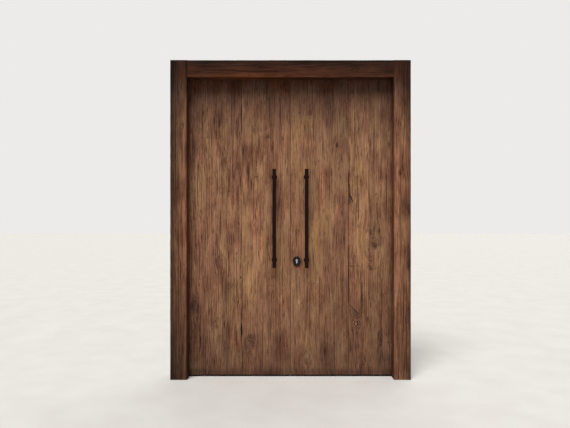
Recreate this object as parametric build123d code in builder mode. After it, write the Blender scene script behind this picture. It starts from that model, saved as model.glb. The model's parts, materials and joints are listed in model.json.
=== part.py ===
from build123d import *
import os

# A double door of vertical oak boards in a rebated oak frame, opening inwards.
# X runs to the right seen from outside, Y runs inwards and Z runs up.
# The origin is on the floor, in the middle of the width and of the depth over the inner pulls.

os.makedirs("parts", exist_ok=True)

# Frame
clear_width = 1660
clear_height = 2432
post_width = 138
head_height = 138
stop_depth = 92
rebate_width = 15
timber_arris = 4
tenon_length = 60
tenon_thickness = 40
tenon_shoulder = 20
timber_clearance = 0.2
peg_diameter = 16
peg_pitch = 46
peg_past_tenon = 12

# Wall anchors, two pairs in each post
anchor_diameter = 10
anchor_sink_diameter = 20
anchor_sink_depth = 12
anchor_outer_spacing = 1640
anchor_inner_spacing = 540
anchor_centre_height = 1230

# Seal in the frame's rebate
seal_width = 9
seal_gap = 3
seal_squeeze = 0.3
kerf_width = 3
kerf_depth = 8
kerf_clearance = 0.2

# Leaves
board_thickness = 24
stile_thickness = 44
side_gap = 3
top_gap = 3
meeting_gap = 4.5
floor_gap = 16
tongue_length = 8
tongue_thickness = 7
tongue_clearance = 0.3
seam_chamfer = 1.5
hinge_stile_width = 130
meeting_stile_width = 170
top_rail_height = 140
lock_rail_height = 200
lock_rail_above_stud = 3
bottom_rail_height = 220
rail_tenon_length = 55
rail_tenon_thickness = 14
rail_tenon_shoulder = 25
frame_chamfer = 3

# Boards, from the one beside the hinge stile to the one at the meeting edge.
# The first board of each leaf takes what these leave of the leaf's width.
left_board_2_width = 173
left_board_3_width = 123
left_board_4_width = 175
left_board_5_width = 220
right_board_2_width = 166
right_board_3_width = 238
right_board_4_width = 237

# Hinges
hinge_height = 127
hinge_inset = 220
flap_depth = 40
flap_thickness = 3.5
knuckle_diameter = 14
knuckle_count = 5
knuckle_gap = 0.3
knuckle_clearance = 0.5
knuckle_offset = 5
hinge_pin_diameter = 8
hinge_pin_clearance = 0.05
pin_head_diameter = 12
pin_head_height = 3
screw_diameter = 5
screw_head_diameter = 9.5
screw_edge = 11
screw_end = 14
screw_stagger = 30

# Pulls
pull_length = 800
pull_width = 30
pull_thickness = 16
pull_projection = 78
pull_bottom = 897
pull_place = 131
pull_post_inset = 60
pull_post_diameter = 20
rose_diameter = 44
rose_thickness = 5
pull_edge = 1
stud_diameter = 10
stud_clearance = 0.25
stud_grip = 22

# Deadlock
lock_height = 954
backset = 50
case_setback = 36
case_length = 85
case_thickness = 16
case_above = 108
case_below = 57
case_wall = 1.5
case_clearance = 0.3
faceplate_width = 22
faceplate_height = 235
faceplate_thickness = 3
bolt_height = 34
bolt_above_cylinder = 38
bolt_length = 62
bolt_clearance = 0.3
bolt_notch_width = 12
bolt_notch_depth = 4
strike_height = 160
strike_play = 1.5
pocket_depth = 26

# Cylinder with a key plug outside and a thumbturn inside
barrel_diameter = 17
cylinder_height = 33
lobe_width = 10
cylinder_clearance = 0.3
cylinder_proud = 2
plug_diameter = 13
plug_clearance = 0.05
cam_width = 9.4
cam_clearance = 0.3
cam_reach = 15
cam_hub_diameter = 16
cam_finger_width = 6
keyway_width = 2.2
keyway_height = 8.5
keyway_depth = 24
turn_neck_diameter = 16
turn_neck_length = 4
turn_length = 36
turn_thickness = 10
turn_projection = 20

# Escutcheons
escutcheon_width = 64
escutcheon_height = 84
escutcheon_thickness = 8
escutcheon_rim = 7
escutcheon_dish = 2.5
escutcheon_round = 3

# Surface bolts on the left leaf
rod_diameter = 12
rod_clearance = 0.08
rod_place = 55
rod_projection = 13
back_plate_width = 40
back_plate_thickness = 3
guide_height = 20
guide_width = 20
knob_space = 82
knob_margin = 8
knob_stem_diameter = 8
knob_diameter = 20
knob_projection = 38
top_bolt_length = 600
top_rod_drop = 6
bottom_bolt_length = 320
bottom_rod_drop = 5
keeper_gap = 4
keeper_height = 34
keeper_wall = 3
keeper_hole_play = 1.5

# Planes and places that follow from the sizes above
leaf_thickness = board_thickness + stile_thickness
rebate_depth = leaf_thickness + seal_gap
frame_depth = stop_depth + rebate_depth
front_y = -(frame_depth + pull_projection) / 2
back_y = front_y + frame_depth
stop_y = front_y + stop_depth
face_y = back_y - leaf_thickness
boards_back_y = face_y + board_thickness
half_clear = clear_width / 2
frame_edge_x = half_clear + post_width
rebate_x = half_clear + rebate_width
leaf_edge_x = rebate_x - side_gap
meeting_x = meeting_gap / 2
leaf_width = leaf_edge_x - meeting_x
frame_top = clear_height + head_height
rebate_top = clear_height + rebate_width
leaf_top = rebate_top - top_gap
leaf_height = leaf_top - floor_gap
hinge_x = rebate_x - side_gap / 2
hinge_y = back_y + knuckle_offset
hinge_levels = {
    "bottom": floor_gap + hinge_inset,
    "middle": (floor_gap + leaf_top) / 2,
    "top": leaf_top - hinge_inset,
}
knuckle_pitch = hinge_height / knuckle_count
pull_post_levels = [pull_bottom + pull_post_inset, pull_bottom + pull_length - pull_post_inset]
lock_rail_middle = pull_post_levels[0] + lock_rail_above_stud
lock_x = meeting_x + backset
case_near_x = meeting_x + faceplate_thickness
case_middle_z = lock_height + (case_above - case_below) / 2
case_height = case_above + case_below
bolt_z = lock_height + bolt_above_cylinder
bolt_thickness = case_thickness - 2 * case_wall - 2 * bolt_clearance
lock_y = face_y + case_setback
rod_y = back_y + rod_projection

outer_face = Plane((0, face_y, 0), x_dir=(1, 0, 0), z_dir=(0, -1, 0))
inner_face = Plane((0, back_y, 0), x_dir=(1, 0, 0), z_dir=(0, -1, 0))
lock_plane = Plane((0, lock_y, 0), x_dir=(1, 0, 0), z_dir=(0, -1, 0))
sides = {"left": -1, "right": 1}
board_widths = {
    "left": [left_board_2_width, left_board_3_width, left_board_4_width, left_board_5_width],
    "right": [right_board_2_width, right_board_3_width, right_board_4_width],
}


def save(piece, name):
    piece.part.label = name
    export_step(piece.part, f"parts/{name}.step")


def plan(x0, x1, y0, y1, level):
    # a rectangle in plan between two pairs of limits
    with BuildSketch(Plane.XY.offset(level)) as rectangle:
        with Locations(((x0 + x1) / 2, (y0 + y1) / 2)):
            Rectangle(abs(x1 - x0), abs(y1 - y0))
    return rectangle.sketch


def elevation(plane, x0, x1, z0, z1):
    # a rectangle on an upright plane that looks outwards
    with BuildSketch(plane) as rectangle:
        with Locations(((x0 + x1) / 2, (z0 + z1) / 2)):
            Rectangle(abs(x1 - x0), abs(z1 - z0))
    return rectangle.sketch


def round_plan(x, y, radius, level):
    with BuildSketch(Plane.XY.offset(level)) as circle:
        with Locations((x, y)):
            Circle(radius)
    return circle.sketch


def seal_band(inner, outer):
    # an upside-down U that follows the rebate, between two distances from the clear opening
    with BuildSketch(outer_face.offset(face_y - stop_y)) as band:
        with Locations((0, (clear_height + outer) / 2)):
            Rectangle(clear_width + 2 * outer, clear_height + outer)
        with Locations((0, (clear_height + inner) / 2)):
            Rectangle(clear_width + 2 * inner, clear_height + inner, mode=Mode.SUBTRACT)
    return band.sketch


seal_middle = rebate_width / 2
kerf_band = seal_band(seal_middle - kerf_width / 2, seal_middle + kerf_width / 2)
tenon_y = (front_y + back_y) / 2

# the pegs run from the back of the frame to a little past the tenon
peg_length = (frame_depth + tenon_thickness) / 2 + peg_past_tenon


def peg_circles(side, grow):
    with BuildSketch(inner_face) as circles:
        with Locations((side * (half_clear + tenon_length / 2), clear_height + head_height / 2)):
            with GridLocations(peg_pitch, peg_pitch, 1, 2):
                Circle(peg_diameter / 2 + grow)
    return circles.sketch


def tenon_plan(side, grow, level):
    half = tenon_thickness / 2 + grow
    reach = half_clear + tenon_length + grow
    return plan(side * half_clear, side * reach, tenon_y - half, tenon_y + half, level)


# Frame

for side_name, side in sides.items():
    with BuildPart() as post:
        extrude(plan(side * half_clear, side * frame_edge_x, front_y, back_y, 0), amount=frame_top)
        fillet(post.edges().filter_by(Axis.Z).group_by(Axis.Y)[0], timber_arris)
        rebate = plan(side * half_clear, side * rebate_x, stop_y, back_y, 0)
        extrude(rebate, amount=rebate_top, mode=Mode.SUBTRACT)
        extrude(kerf_band, amount=kerf_depth, mode=Mode.SUBTRACT)
        # mortice for the tenon of the head
        mortice_bottom = clear_height + tenon_shoulder - timber_clearance
        mortice_height = head_height - 2 * tenon_shoulder + 2 * timber_clearance
        mortice = tenon_plan(side, timber_clearance, mortice_bottom)
        extrude(mortice, amount=mortice_height, mode=Mode.SUBTRACT)
        extrude(peg_circles(side, timber_clearance), amount=peg_length, mode=Mode.SUBTRACT)
        for middle in hinge_levels.values():
            room = hinge_height / 2 + pin_head_height + knuckle_gap + knuckle_clearance
            scoop = knuckle_diameter / 2 + knuckle_clearance
            barrel = round_plan(side * hinge_x, hinge_y, scoop, middle - room)
            extrude(barrel, amount=2 * room, mode=Mode.SUBTRACT)
            half_recess = hinge_height / 2 + timber_clearance
            recess = plan(
                side * rebate_x,
                side * (rebate_x + flap_thickness),
                back_y - flap_depth - timber_clearance,
                back_y,
                middle - half_recess,
            )
            extrude(recess, amount=2 * half_recess, mode=Mode.SUBTRACT)
        # anchor holes, sunk from the rebate where the closed leaf covers them
        anchor_y = back_y - rebate_depth / 2
        for spacing in (anchor_outer_spacing, anchor_inner_spacing):
            for end in (-1, 1):
                level = anchor_centre_height + end * spacing / 2
                with Locations(Plane((side * rebate_x, anchor_y, level), z_dir=(-side, 0, 0))):
                    CounterBoreHole(
                        anchor_diameter / 2, anchor_sink_diameter / 2, anchor_sink_depth
                    )
    save(post, f"frame_post_{side_name}")

with BuildPart() as frame_head:
    extrude(plan(-half_clear, half_clear, front_y, back_y, clear_height), amount=head_height)
    fillet(frame_head.edges().filter_by(Axis.X).group_by(Axis.Y)[0], timber_arris)
    rebate = plan(-half_clear, half_clear, stop_y, back_y, clear_height)
    extrude(rebate, amount=rebate_width, mode=Mode.SUBTRACT)
    extrude(kerf_band, amount=kerf_depth, mode=Mode.SUBTRACT)
    for side in sides.values():
        tenon = tenon_plan(side, 0, clear_height + tenon_shoulder)
        extrude(tenon, amount=head_height - 2 * tenon_shoulder)
        extrude(peg_circles(side, timber_clearance), amount=peg_length, mode=Mode.SUBTRACT)
save(frame_head, "frame_head")

with BuildPart() as frame_pegs:
    for side in sides.values():
        extrude(peg_circles(side, 0), amount=peg_length)
save(frame_pegs, "frame_pegs")

with BuildPart() as frame_seal:
    half_stem = kerf_width / 2 - kerf_clearance
    stem = seal_band(seal_middle - half_stem, seal_middle + half_stem)
    extrude(stem, amount=kerf_depth - kerf_clearance)
    lip = seal_band(seal_middle - seal_width / 2, seal_middle + seal_width / 2)
    extrude(lip, amount=-(seal_gap - seal_squeeze))
    lip_edges = frame_seal.faces().sort_by(Axis.Y)[-1].edges().filter_by(Axis.Z)
    chamfer(lip_edges, seal_gap / 3)
save(frame_seal, "frame_seal")


# Leaves

def inset_x(side, inset):
    # the x of a point that lies a given distance in from the leaf's hinge edge
    return side * (leaf_edge_x - inset)


def euro_profile(plane, grow):
    # outline of the cylinder, made larger by grow on every side
    lobe_drop = cylinder_height - (barrel_diameter + lobe_width) / 2
    with BuildSketch(plane) as outline:
        with Locations((lock_x, lock_height)):
            Circle(barrel_diameter / 2 + grow)
        with Locations((lock_x, lock_height - lobe_drop / 2)):
            Rectangle(lobe_width + 2 * grow, lobe_drop)
        with Locations((lock_x, lock_height - lobe_drop)):
            Circle(lobe_width / 2 + grow)
    return outline.sketch


def leaf_holes(side):
    # the holes through a leaf: for the pull studs, and for the cylinder on the right
    with BuildSketch(outer_face) as holes:
        with Locations([(side * pull_place, level) for level in pull_post_levels]):
            Circle(stud_diameter / 2 + stud_clearance)
        if side == sides["right"]:
            add(euro_profile(outer_face, cylinder_clearance))
    return holes.sketch


for side_name, side in sides.items():
    others = board_widths[side_name]
    widths = [leaf_width - sum(others), *others]
    near = 0
    for number, width in enumerate(widths, 1):
        far = near + width
        with BuildPart() as board:
            block = plan(inset_x(side, near), inset_x(side, far), face_y, boards_back_y, floor_gap)
            extrude(block, amount=leaf_height)
            chamfer(board.edges().filter_by(Axis.Z).group_by(Axis.Y)[0], seam_chamfer)
            tongue_y = face_y + board_thickness / 2
            if number < len(widths):
                half = tongue_thickness / 2
                tip = inset_x(side, far + tongue_length)
                tongue = plan(inset_x(side, far), tip, tongue_y - half, tongue_y + half, floor_gap)
                extrude(tongue, amount=leaf_height)
            if number > 1:
                half = tongue_thickness / 2 + tongue_clearance
                end = inset_x(side, near + tongue_length + tongue_clearance)
                groove = plan(inset_x(side, near), end, tongue_y - half, tongue_y + half, floor_gap)
                extrude(groove, amount=leaf_height, mode=Mode.SUBTRACT)
            if number == len(widths):
                extrude(leaf_holes(side), amount=-leaf_thickness, mode=Mode.SUBTRACT)
        save(board, f"{side_name}_board_{number}")
        near = far


rails = {
    "top": (leaf_top - top_rail_height, leaf_top),
    "lock": (lock_rail_middle - lock_rail_height / 2, lock_rail_middle + lock_rail_height / 2),
    "bottom": (floor_gap, floor_gap + bottom_rail_height),
}
rail_y = boards_back_y + stile_thickness / 2


def rail_core(side, low, high, grow):
    # a rail's tenons and the part of it between them, as one bar
    half = rail_tenon_thickness / 2 + grow
    reach = rail_tenon_length + grow
    bar = plan(
        inset_x(side, hinge_stile_width - reach),
        inset_x(side, leaf_width - meeting_stile_width + reach),
        rail_y - half,
        rail_y + half,
        low + rail_tenon_shoulder - grow,
    )
    return bar, high - low - 2 * rail_tenon_shoulder + 2 * grow


for side_name, side in sides.items():
    with BuildPart() as hinge_stile:
        block = plan(
            inset_x(side, 0), inset_x(side, hinge_stile_width), boards_back_y, back_y, floor_gap
        )
        extrude(block, amount=leaf_height)
        inner_edge = hinge_stile.edges().filter_by(Axis.Z).group_by(Axis.Y)[-1]
        chamfer(inner_edge.sort_by(lambda edge: abs(edge.center().X))[0], frame_chamfer)
        for low, high in rails.values():
            bar, height = rail_core(side, low, high, timber_clearance)
            extrude(bar, amount=height, mode=Mode.SUBTRACT)
        for middle in hinge_levels.values():
            room = hinge_height / 2 + pin_head_height + knuckle_gap + knuckle_clearance
            scoop = knuckle_diameter / 2 + knuckle_clearance
            barrel = round_plan(side * hinge_x, hinge_y, scoop, middle - room)
            extrude(barrel, amount=2 * room, mode=Mode.SUBTRACT)
            half_recess = hinge_height / 2 + timber_clearance
            recess = plan(
                inset_x(side, 0),
                inset_x(side, flap_thickness),
                back_y - flap_depth - timber_clearance,
                back_y,
                middle - half_recess,
            )
            extrude(recess, amount=2 * half_recess, mode=Mode.SUBTRACT)
    save(hinge_stile, f"{side_name}_hinge_stile")

    with BuildPart() as meeting_stile:
        stile_start = leaf_width - meeting_stile_width
        block = plan(
            inset_x(side, stile_start), inset_x(side, leaf_width), boards_back_y, back_y, floor_gap
        )
        extrude(block, amount=leaf_height)
        inner_edge = meeting_stile.edges().filter_by(Axis.Z).group_by(Axis.Y)[-1]
        chamfer(inner_edge.sort_by(lambda edge: abs(edge.center().X))[-1], frame_chamfer)
        for low, high in rails.values():
            bar, height = rail_core(side, low, high, timber_clearance)
            extrude(bar, amount=height, mode=Mode.SUBTRACT)
        extrude(leaf_holes(side), amount=-leaf_thickness, mode=Mode.SUBTRACT)
        if side == sides["right"]:
            # mortice for the lock case, and the shallow one for its faceplate
            case_end = case_near_x + case_length + case_clearance
            case_low = case_middle_z - case_height / 2 - case_clearance
            case_high = case_middle_z + case_height / 2 + case_clearance
            mortice = elevation(lock_plane, meeting_x, case_end, case_low, case_high)
            half_case = case_thickness / 2 + case_clearance
            extrude(mortice, amount=half_case, both=True, mode=Mode.SUBTRACT)
            plate_low = case_middle_z - faceplate_height / 2 - case_clearance
            plate_high = case_middle_z + faceplate_height / 2 + case_clearance
            seat = elevation(lock_plane, meeting_x, case_near_x, plate_low, plate_high)
            half_plate = faceplate_width / 2 + case_clearance
            extrude(seat, amount=half_plate, both=True, mode=Mode.SUBTRACT)
        else:
            # pocket for the bolt, and the shallow seat of the strike plate
            strike_back = meeting_x + faceplate_thickness
            half_hole = bolt_height / 2 + strike_play
            pocket_end = -(strike_back + pocket_depth)
            pocket = elevation(
                lock_plane, -meeting_x, pocket_end, bolt_z - half_hole, bolt_z + half_hole
            )
            half_pocket = bolt_thickness / 2 + strike_play
            extrude(pocket, amount=half_pocket, both=True, mode=Mode.SUBTRACT)
            half_strike = strike_height / 2 + case_clearance
            seat = elevation(
                lock_plane, -meeting_x, -strike_back, bolt_z - half_strike, bolt_z + half_strike
            )
            half_plate = faceplate_width / 2 + case_clearance
            extrude(seat, amount=half_plate, both=True, mode=Mode.SUBTRACT)
    save(meeting_stile, f"{side_name}_meeting_stile")

    for rail_name, (low, high) in rails.items():
        with BuildPart() as rail:
            body = plan(
                inset_x(side, hinge_stile_width),
                inset_x(side, leaf_width - meeting_stile_width),
                boards_back_y,
                back_y,
                low,
            )
            extrude(body, amount=high - low)
            long_edges = rail.edges().filter_by(Axis.X).group_by(Axis.Y)[-1]
            open_edges = [edge for edge in long_edges if floor_gap < edge.center().Z < leaf_top]
            chamfer(open_edges, frame_chamfer)
            bar, height = rail_core(side, low, high, 0)
            extrude(bar, amount=height)
            # a pull stud can pass through the tenon of the rail beside it
            extrude(leaf_holes(side), amount=-leaf_thickness, mode=Mode.SUBTRACT)
        save(rail, f"{side_name}_{rail_name}_rail")


# Hinges

def screw_places(side, middle, face_x, towards):
    # the screw holes of a flap: two rows, staggered, sunk from the face that looks at the other flap
    places = []
    for end in (-1, 1):
        level = middle + end * (hinge_height / 2 - screw_end)
        places.append((back_y - screw_edge, level))
        places.append((back_y - flap_depth + screw_edge, level - end * screw_stagger))
    return [Plane((face_x, y, z), z_dir=(towards, 0, 0)) for y, z in places]


def build_flap(name, side, middle, near, far, sink_from, towards, own):
    bottom = middle - hinge_height / 2
    with BuildPart() as flap:
        extrude(plan(near, far, back_y - flap_depth, hinge_y, bottom), amount=hinge_height)
        for index in range(knuckle_count):
            level = bottom + index * knuckle_pitch
            if index in own:
                radius = knuckle_diameter / 2
                knuckle = round_plan(side * hinge_x, hinge_y, radius, level + knuckle_gap / 2)
                extrude(knuckle, amount=knuckle_pitch - knuckle_gap)
            else:
                radius = knuckle_diameter / 2 + knuckle_clearance
                room = round_plan(side * hinge_x, hinge_y, radius, level - knuckle_gap / 2)
                extrude(room, amount=knuckle_pitch + knuckle_gap, mode=Mode.SUBTRACT)
        bore = round_plan(
            side * hinge_x, hinge_y, hinge_pin_diameter / 2 + hinge_pin_clearance, bottom
        )
        extrude(bore, amount=hinge_height, mode=Mode.SUBTRACT)
        with Locations(*screw_places(side, middle, sink_from, towards)):
            CounterSinkHole(screw_diameter / 2, screw_head_diameter / 2)
    save(flap, name)


for side_name, side in sides.items():
    for level_name, middle in hinge_levels.items():
        build_flap(
            f"{side_name}_{level_name}_frame_flap",
            side,
            middle,
            side * rebate_x,
            side * (rebate_x + flap_thickness),
            side * rebate_x,
            -side,
            range(0, knuckle_count, 2),
        )
        build_flap(
            f"{side_name}_{level_name}_leaf_flap",
            side,
            middle,
            inset_x(side, flap_thickness),
            inset_x(side, 0),
            inset_x(side, 0),
            side,
            range(1, knuckle_count, 2),
        )

    with BuildPart() as hinge_pins:
        for middle in hinge_levels.values():
            half_pin = hinge_height / 2 + knuckle_gap
            centre = (side * hinge_x, hinge_y)
            shaft = round_plan(*centre, hinge_pin_diameter / 2, middle - half_pin)
            extrude(shaft, amount=2 * half_pin)
            for start in (middle + half_pin, middle - half_pin - pin_head_height):
                extrude(round_plan(*centre, pin_head_diameter / 2, start), amount=pin_head_height)
    save(hinge_pins, f"{side_name}_hinge_pins")


# Pulls

def build_pull(name, side, plane, outwards):
    # outwards is 1 for a pull on the outer face and -1 for one on the inner face
    bar_back = pull_projection - pull_thickness
    with BuildPart() as pull:
        bar = elevation(
            plane.offset(outwards * bar_back),
            side * pull_place - pull_width / 2,
            side * pull_place + pull_width / 2,
            pull_bottom,
            pull_bottom + pull_length,
        )
        extrude(bar, amount=outwards * pull_thickness)
        chamfer(pull.edges(), pull_edge)
        with BuildSketch(plane) as roses:
            with Locations([(side * pull_place, level) for level in pull_post_levels]):
                Circle(rose_diameter / 2)
        extrude(roses.sketch, amount=outwards * rose_thickness, mode=Mode.ADD)
        rims = pull.edges().filter_by(GeomType.CIRCLE)
        outer_rims = rims.sort_by(Axis.Y, reverse=outwards > 0)[-2:]
        chamfer(outer_rims, pull_edge)
        with BuildSketch(plane) as posts:
            with Locations([(side * pull_place, level) for level in pull_post_levels]):
                Circle(pull_post_diameter / 2)
        extrude(posts.sketch, amount=outwards * bar_back, mode=Mode.ADD)
        with BuildSketch(plane) as taps:
            with Locations([(side * pull_place, level) for level in pull_post_levels]):
                Circle(stud_diameter / 2)
        extrude(taps.sketch, amount=outwards * stud_grip, mode=Mode.SUBTRACT)
    save(pull, name)


for side_name, side in sides.items():
    build_pull(f"{side_name}_outer_pull", side, outer_face, 1)
    build_pull(f"{side_name}_inner_pull", side, inner_face, -1)
    with BuildPart() as pull_studs:
        with BuildSketch(outer_face.offset(stud_grip)) as rounds:
            with Locations([(side * pull_place, level) for level in pull_post_levels]):
                Circle(stud_diameter / 2)
        extrude(rounds.sketch, amount=-(leaf_thickness + 2 * stud_grip), mode=Mode.ADD)
    save(pull_studs, f"{side_name}_pull_studs")


# Deadlock on the right leaf

case_low = case_middle_z - case_height / 2
case_high = case_middle_z + case_height / 2
half_window = bolt_height / 2 + bolt_clearance

with BuildPart() as lock_case:
    block = elevation(lock_plane, case_near_x, case_near_x + case_length, case_low, case_high)
    extrude(block, amount=case_thickness / 2, both=True)
    offset(amount=-case_wall, openings=lock_case.faces().sort_by(Axis.X)[0])
    cylinder_way = euro_profile(lock_plane, cylinder_clearance)
    extrude(cylinder_way, amount=case_thickness, both=True, mode=Mode.SUBTRACT)
save(lock_case, "lock_case")

with BuildPart() as lock_faceplate:
    block = elevation(
        lock_plane,
        meeting_x,
        case_near_x,
        case_middle_z - faceplate_height / 2,
        case_middle_z + faceplate_height / 2,
    )
    extrude(block, amount=faceplate_width / 2, both=True)
    window = elevation(lock_plane, meeting_x, case_near_x, bolt_z - half_window, bolt_z + half_window)
    half_slot = bolt_thickness / 2 + bolt_clearance
    extrude(window, amount=half_slot, both=True, mode=Mode.SUBTRACT)
save(lock_faceplate, "lock_faceplate")

with BuildPart() as dead_bolt:
    low = bolt_z - bolt_height / 2
    block = elevation(
        lock_plane, meeting_x, meeting_x + bolt_length, low, bolt_z + bolt_height / 2
    )
    extrude(block, amount=bolt_thickness / 2, both=True)
    # the notch that the cam turns in
    half_notch = bolt_notch_width / 2
    notch = elevation(
        lock_plane, lock_x - half_notch, lock_x + half_notch, low, low + bolt_notch_depth
    )
    extrude(notch, amount=bolt_thickness, both=True, mode=Mode.SUBTRACT)
save(dead_bolt, "dead_bolt")

with BuildPart() as strike_plate:
    block = elevation(
        lock_plane,
        -meeting_x,
        -case_near_x,
        bolt_z - strike_height / 2,
        bolt_z + strike_height / 2,
    )
    extrude(block, amount=faceplate_width / 2, both=True)
    half_hole = bolt_height / 2 + strike_play
    hole = elevation(lock_plane, -meeting_x, -case_near_x, bolt_z - half_hole, bolt_z + half_hole)
    extrude(hole, amount=bolt_thickness / 2 + strike_play, both=True, mode=Mode.SUBTRACT)
save(strike_plate, "strike_plate")


# Cylinder

outer_reach = escutcheon_thickness + cylinder_proud
cylinder_length = leaf_thickness + 2 * outer_reach
cylinder_front = outer_face.offset(outer_reach)
half_cam_slot = cam_width / 2 + cam_clearance
cam_bottom = lock_height - cam_reach - cam_clearance
outer_half = case_setback + outer_reach - half_cam_slot
inner_half = leaf_thickness - case_setback + outer_reach - half_cam_slot


def round_on(plane, radius):
    with BuildSketch(plane) as circle:
        with Locations((lock_x, lock_height)):
            Circle(radius)
    return circle.sketch


with BuildPart() as cylinder_body:
    extrude(euro_profile(cylinder_front, 0), amount=-cylinder_length)
    reach = barrel_diameter
    gap = elevation(lock_plane, lock_x - reach, lock_x + reach, cam_bottom, lock_height + reach)
    extrude(gap, amount=half_cam_slot, both=True, mode=Mode.SUBTRACT)
    bore = round_on(cylinder_front, plug_diameter / 2 + plug_clearance)
    extrude(bore, amount=-cylinder_length, mode=Mode.SUBTRACT)
save(cylinder_body, "cylinder_body")

with BuildPart() as key_plug:
    extrude(round_on(cylinder_front, plug_diameter / 2), amount=-outer_half)
    keyway_low = lock_height - plug_diameter / 2
    keyway = elevation(
        cylinder_front,
        lock_x - keyway_width / 2,
        lock_x + keyway_width / 2,
        keyway_low,
        keyway_low + keyway_height,
    )
    extrude(keyway, amount=-keyway_depth, mode=Mode.SUBTRACT)
save(key_plug, "key_plug")

turn_seat = inner_face.offset(-outer_reach)

with BuildPart() as thumbturn:
    # cam: a hub with one finger
    extrude(round_on(lock_plane, cam_hub_diameter / 2), amount=cam_width / 2, both=True)
    finger = elevation(
        lock_plane,
        lock_x - cam_finger_width / 2,
        lock_x + cam_finger_width / 2,
        lock_height - cam_reach,
        lock_height,
    )
    extrude(finger, amount=cam_width / 2, both=True)
    extrude(round_on(turn_seat, plug_diameter / 2), amount=inner_half + cam_clearance)
    neck_top = turn_seat.offset(-turn_neck_length - cam_clearance)
    extrude(round_on(neck_top, turn_neck_diameter / 2), amount=turn_neck_length)
    extrude(round_on(neck_top, plug_diameter / 2), amount=turn_neck_length + cam_clearance)
    with BuildSketch(neck_top) as grip:
        with Locations((lock_x, lock_height)):
            SlotOverall(turn_length, turn_thickness, rotation=90)
    extrude(grip.sketch, amount=-turn_projection, mode=Mode.ADD)
    fillet(thumbturn.faces().sort_by(Axis.Y)[-1].edges(), turn_thickness / 5)
save(thumbturn, "thumbturn")


def build_escutcheon(name, plane, outwards):
    with BuildPart() as escutcheon:
        with BuildSketch(plane) as outline:
            with Locations((lock_x, lock_height - cylinder_drop)):
                Ellipse(escutcheon_width / 2, escutcheon_height / 2)
        extrude(outline.sketch, amount=outwards * escutcheon_thickness, mode=Mode.ADD)
        top = escutcheon.faces().sort_by(Axis.Y)[0 if outwards > 0 else -1]
        fillet(top.edges(), escutcheon_round)
        with BuildSketch(plane.offset(outwards * escutcheon_thickness)) as dish:
            with Locations((lock_x, lock_height - cylinder_drop)):
                Ellipse(
                    escutcheon_width / 2 - escutcheon_rim, escutcheon_height / 2 - escutcheon_rim
                )
        extrude(dish.sketch, amount=-outwards * escutcheon_dish, mode=Mode.SUBTRACT)
        hole = euro_profile(plane, cylinder_clearance)
        extrude(hole, amount=outwards * escutcheon_thickness, mode=Mode.SUBTRACT)
    save(escutcheon, name)


# the escutcheon is centred on the cylinder's outline, which reaches further down than up
cylinder_drop = (cylinder_height - barrel_diameter) / 2
build_escutcheon("outer_escutcheon", outer_face, 1)
build_escutcheon("inner_escutcheon", inner_face, -1)


# Surface bolts on the left leaf

rod_x = sides["left"] * rod_place


def guide_plan(grow, level):
    # a bridge over the rod, round at the top, that sits on the back plate
    with BuildSketch(Plane.XY.offset(level)) as bridge:
        with Locations((rod_x, (back_y + rod_y) / 2)):
            Rectangle(guide_width + 2 * grow, rod_y - back_y)
        with Locations((rod_x, rod_y)):
            Circle(guide_width / 2 + grow)
    return bridge.sketch


def build_bolt_body(name, low, high, guide_levels):
    with BuildPart() as body:
        half = back_plate_width / 2
        plate = plan(rod_x - half, rod_x + half, back_y, back_y + back_plate_thickness, low)
        extrude(plate, amount=high - low)
        chamfer(body.edges().filter_by(Axis.Y), back_plate_thickness)
        for level in guide_levels:
            extrude(guide_plan(0, level), amount=guide_height)
        way = round_plan(rod_x, rod_y, rod_diameter / 2 + rod_clearance, low)
        extrude(way, amount=high - low, mode=Mode.SUBTRACT)
    save(body, name)


def build_rod(name, low, high, knob_level):
    knob_plane = Plane((rod_x, rod_y, knob_level), x_dir=(1, 0, 0), z_dir=(0, 0, 1))
    reach = knob_projection - rod_projection
    with BuildPart() as rod:
        extrude(round_plan(rod_x, rod_y, rod_diameter / 2, low), amount=high - low)
        with BuildSketch(knob_plane) as half_knob:
            with BuildLine():
                foot = Line((0, rod_diameter / 4), (knob_stem_diameter / 2, rod_diameter / 4))
                stem = Line(foot @ 1, (knob_stem_diameter / 2, reach - knob_diameter / 2))
                flare = Line(stem @ 1, (knob_diameter / 2, reach - knob_diameter / 4))
                crown = TangentArc(flare @ 1, (knob_diameter / 4, reach), tangent=(0, 1))
                top = Line(crown @ 1, (0, reach))
                Line(top @ 1, foot @ 0)
            make_face()
        revolve(half_knob.sketch, axis=Axis((rod_x, rod_y, knob_level), (0, 1, 0)), mode=Mode.ADD)
    save(rod, name)


top_rod_high = leaf_top - top_rod_drop
top_body_low = leaf_top - top_bolt_length
knob_high = guide_height + knob_margin + knob_diameter / 2
build_bolt_body(
    "top_bolt_body",
    top_body_low,
    leaf_top,
    [top_body_low, top_body_low + guide_height + knob_space, leaf_top - guide_height],
)
build_rod("top_bolt_rod", top_body_low, top_rod_high, top_body_low + knob_high)

bottom_body_high = floor_gap + bottom_bolt_length
build_bolt_body(
    "bottom_bolt_body",
    floor_gap,
    bottom_body_high,
    [floor_gap, bottom_body_high - 2 * guide_height - knob_space, bottom_body_high - guide_height],
)
build_rod(
    "bottom_bolt_rod", floor_gap + bottom_rod_drop, bottom_body_high, bottom_body_high - knob_high
)

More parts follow.
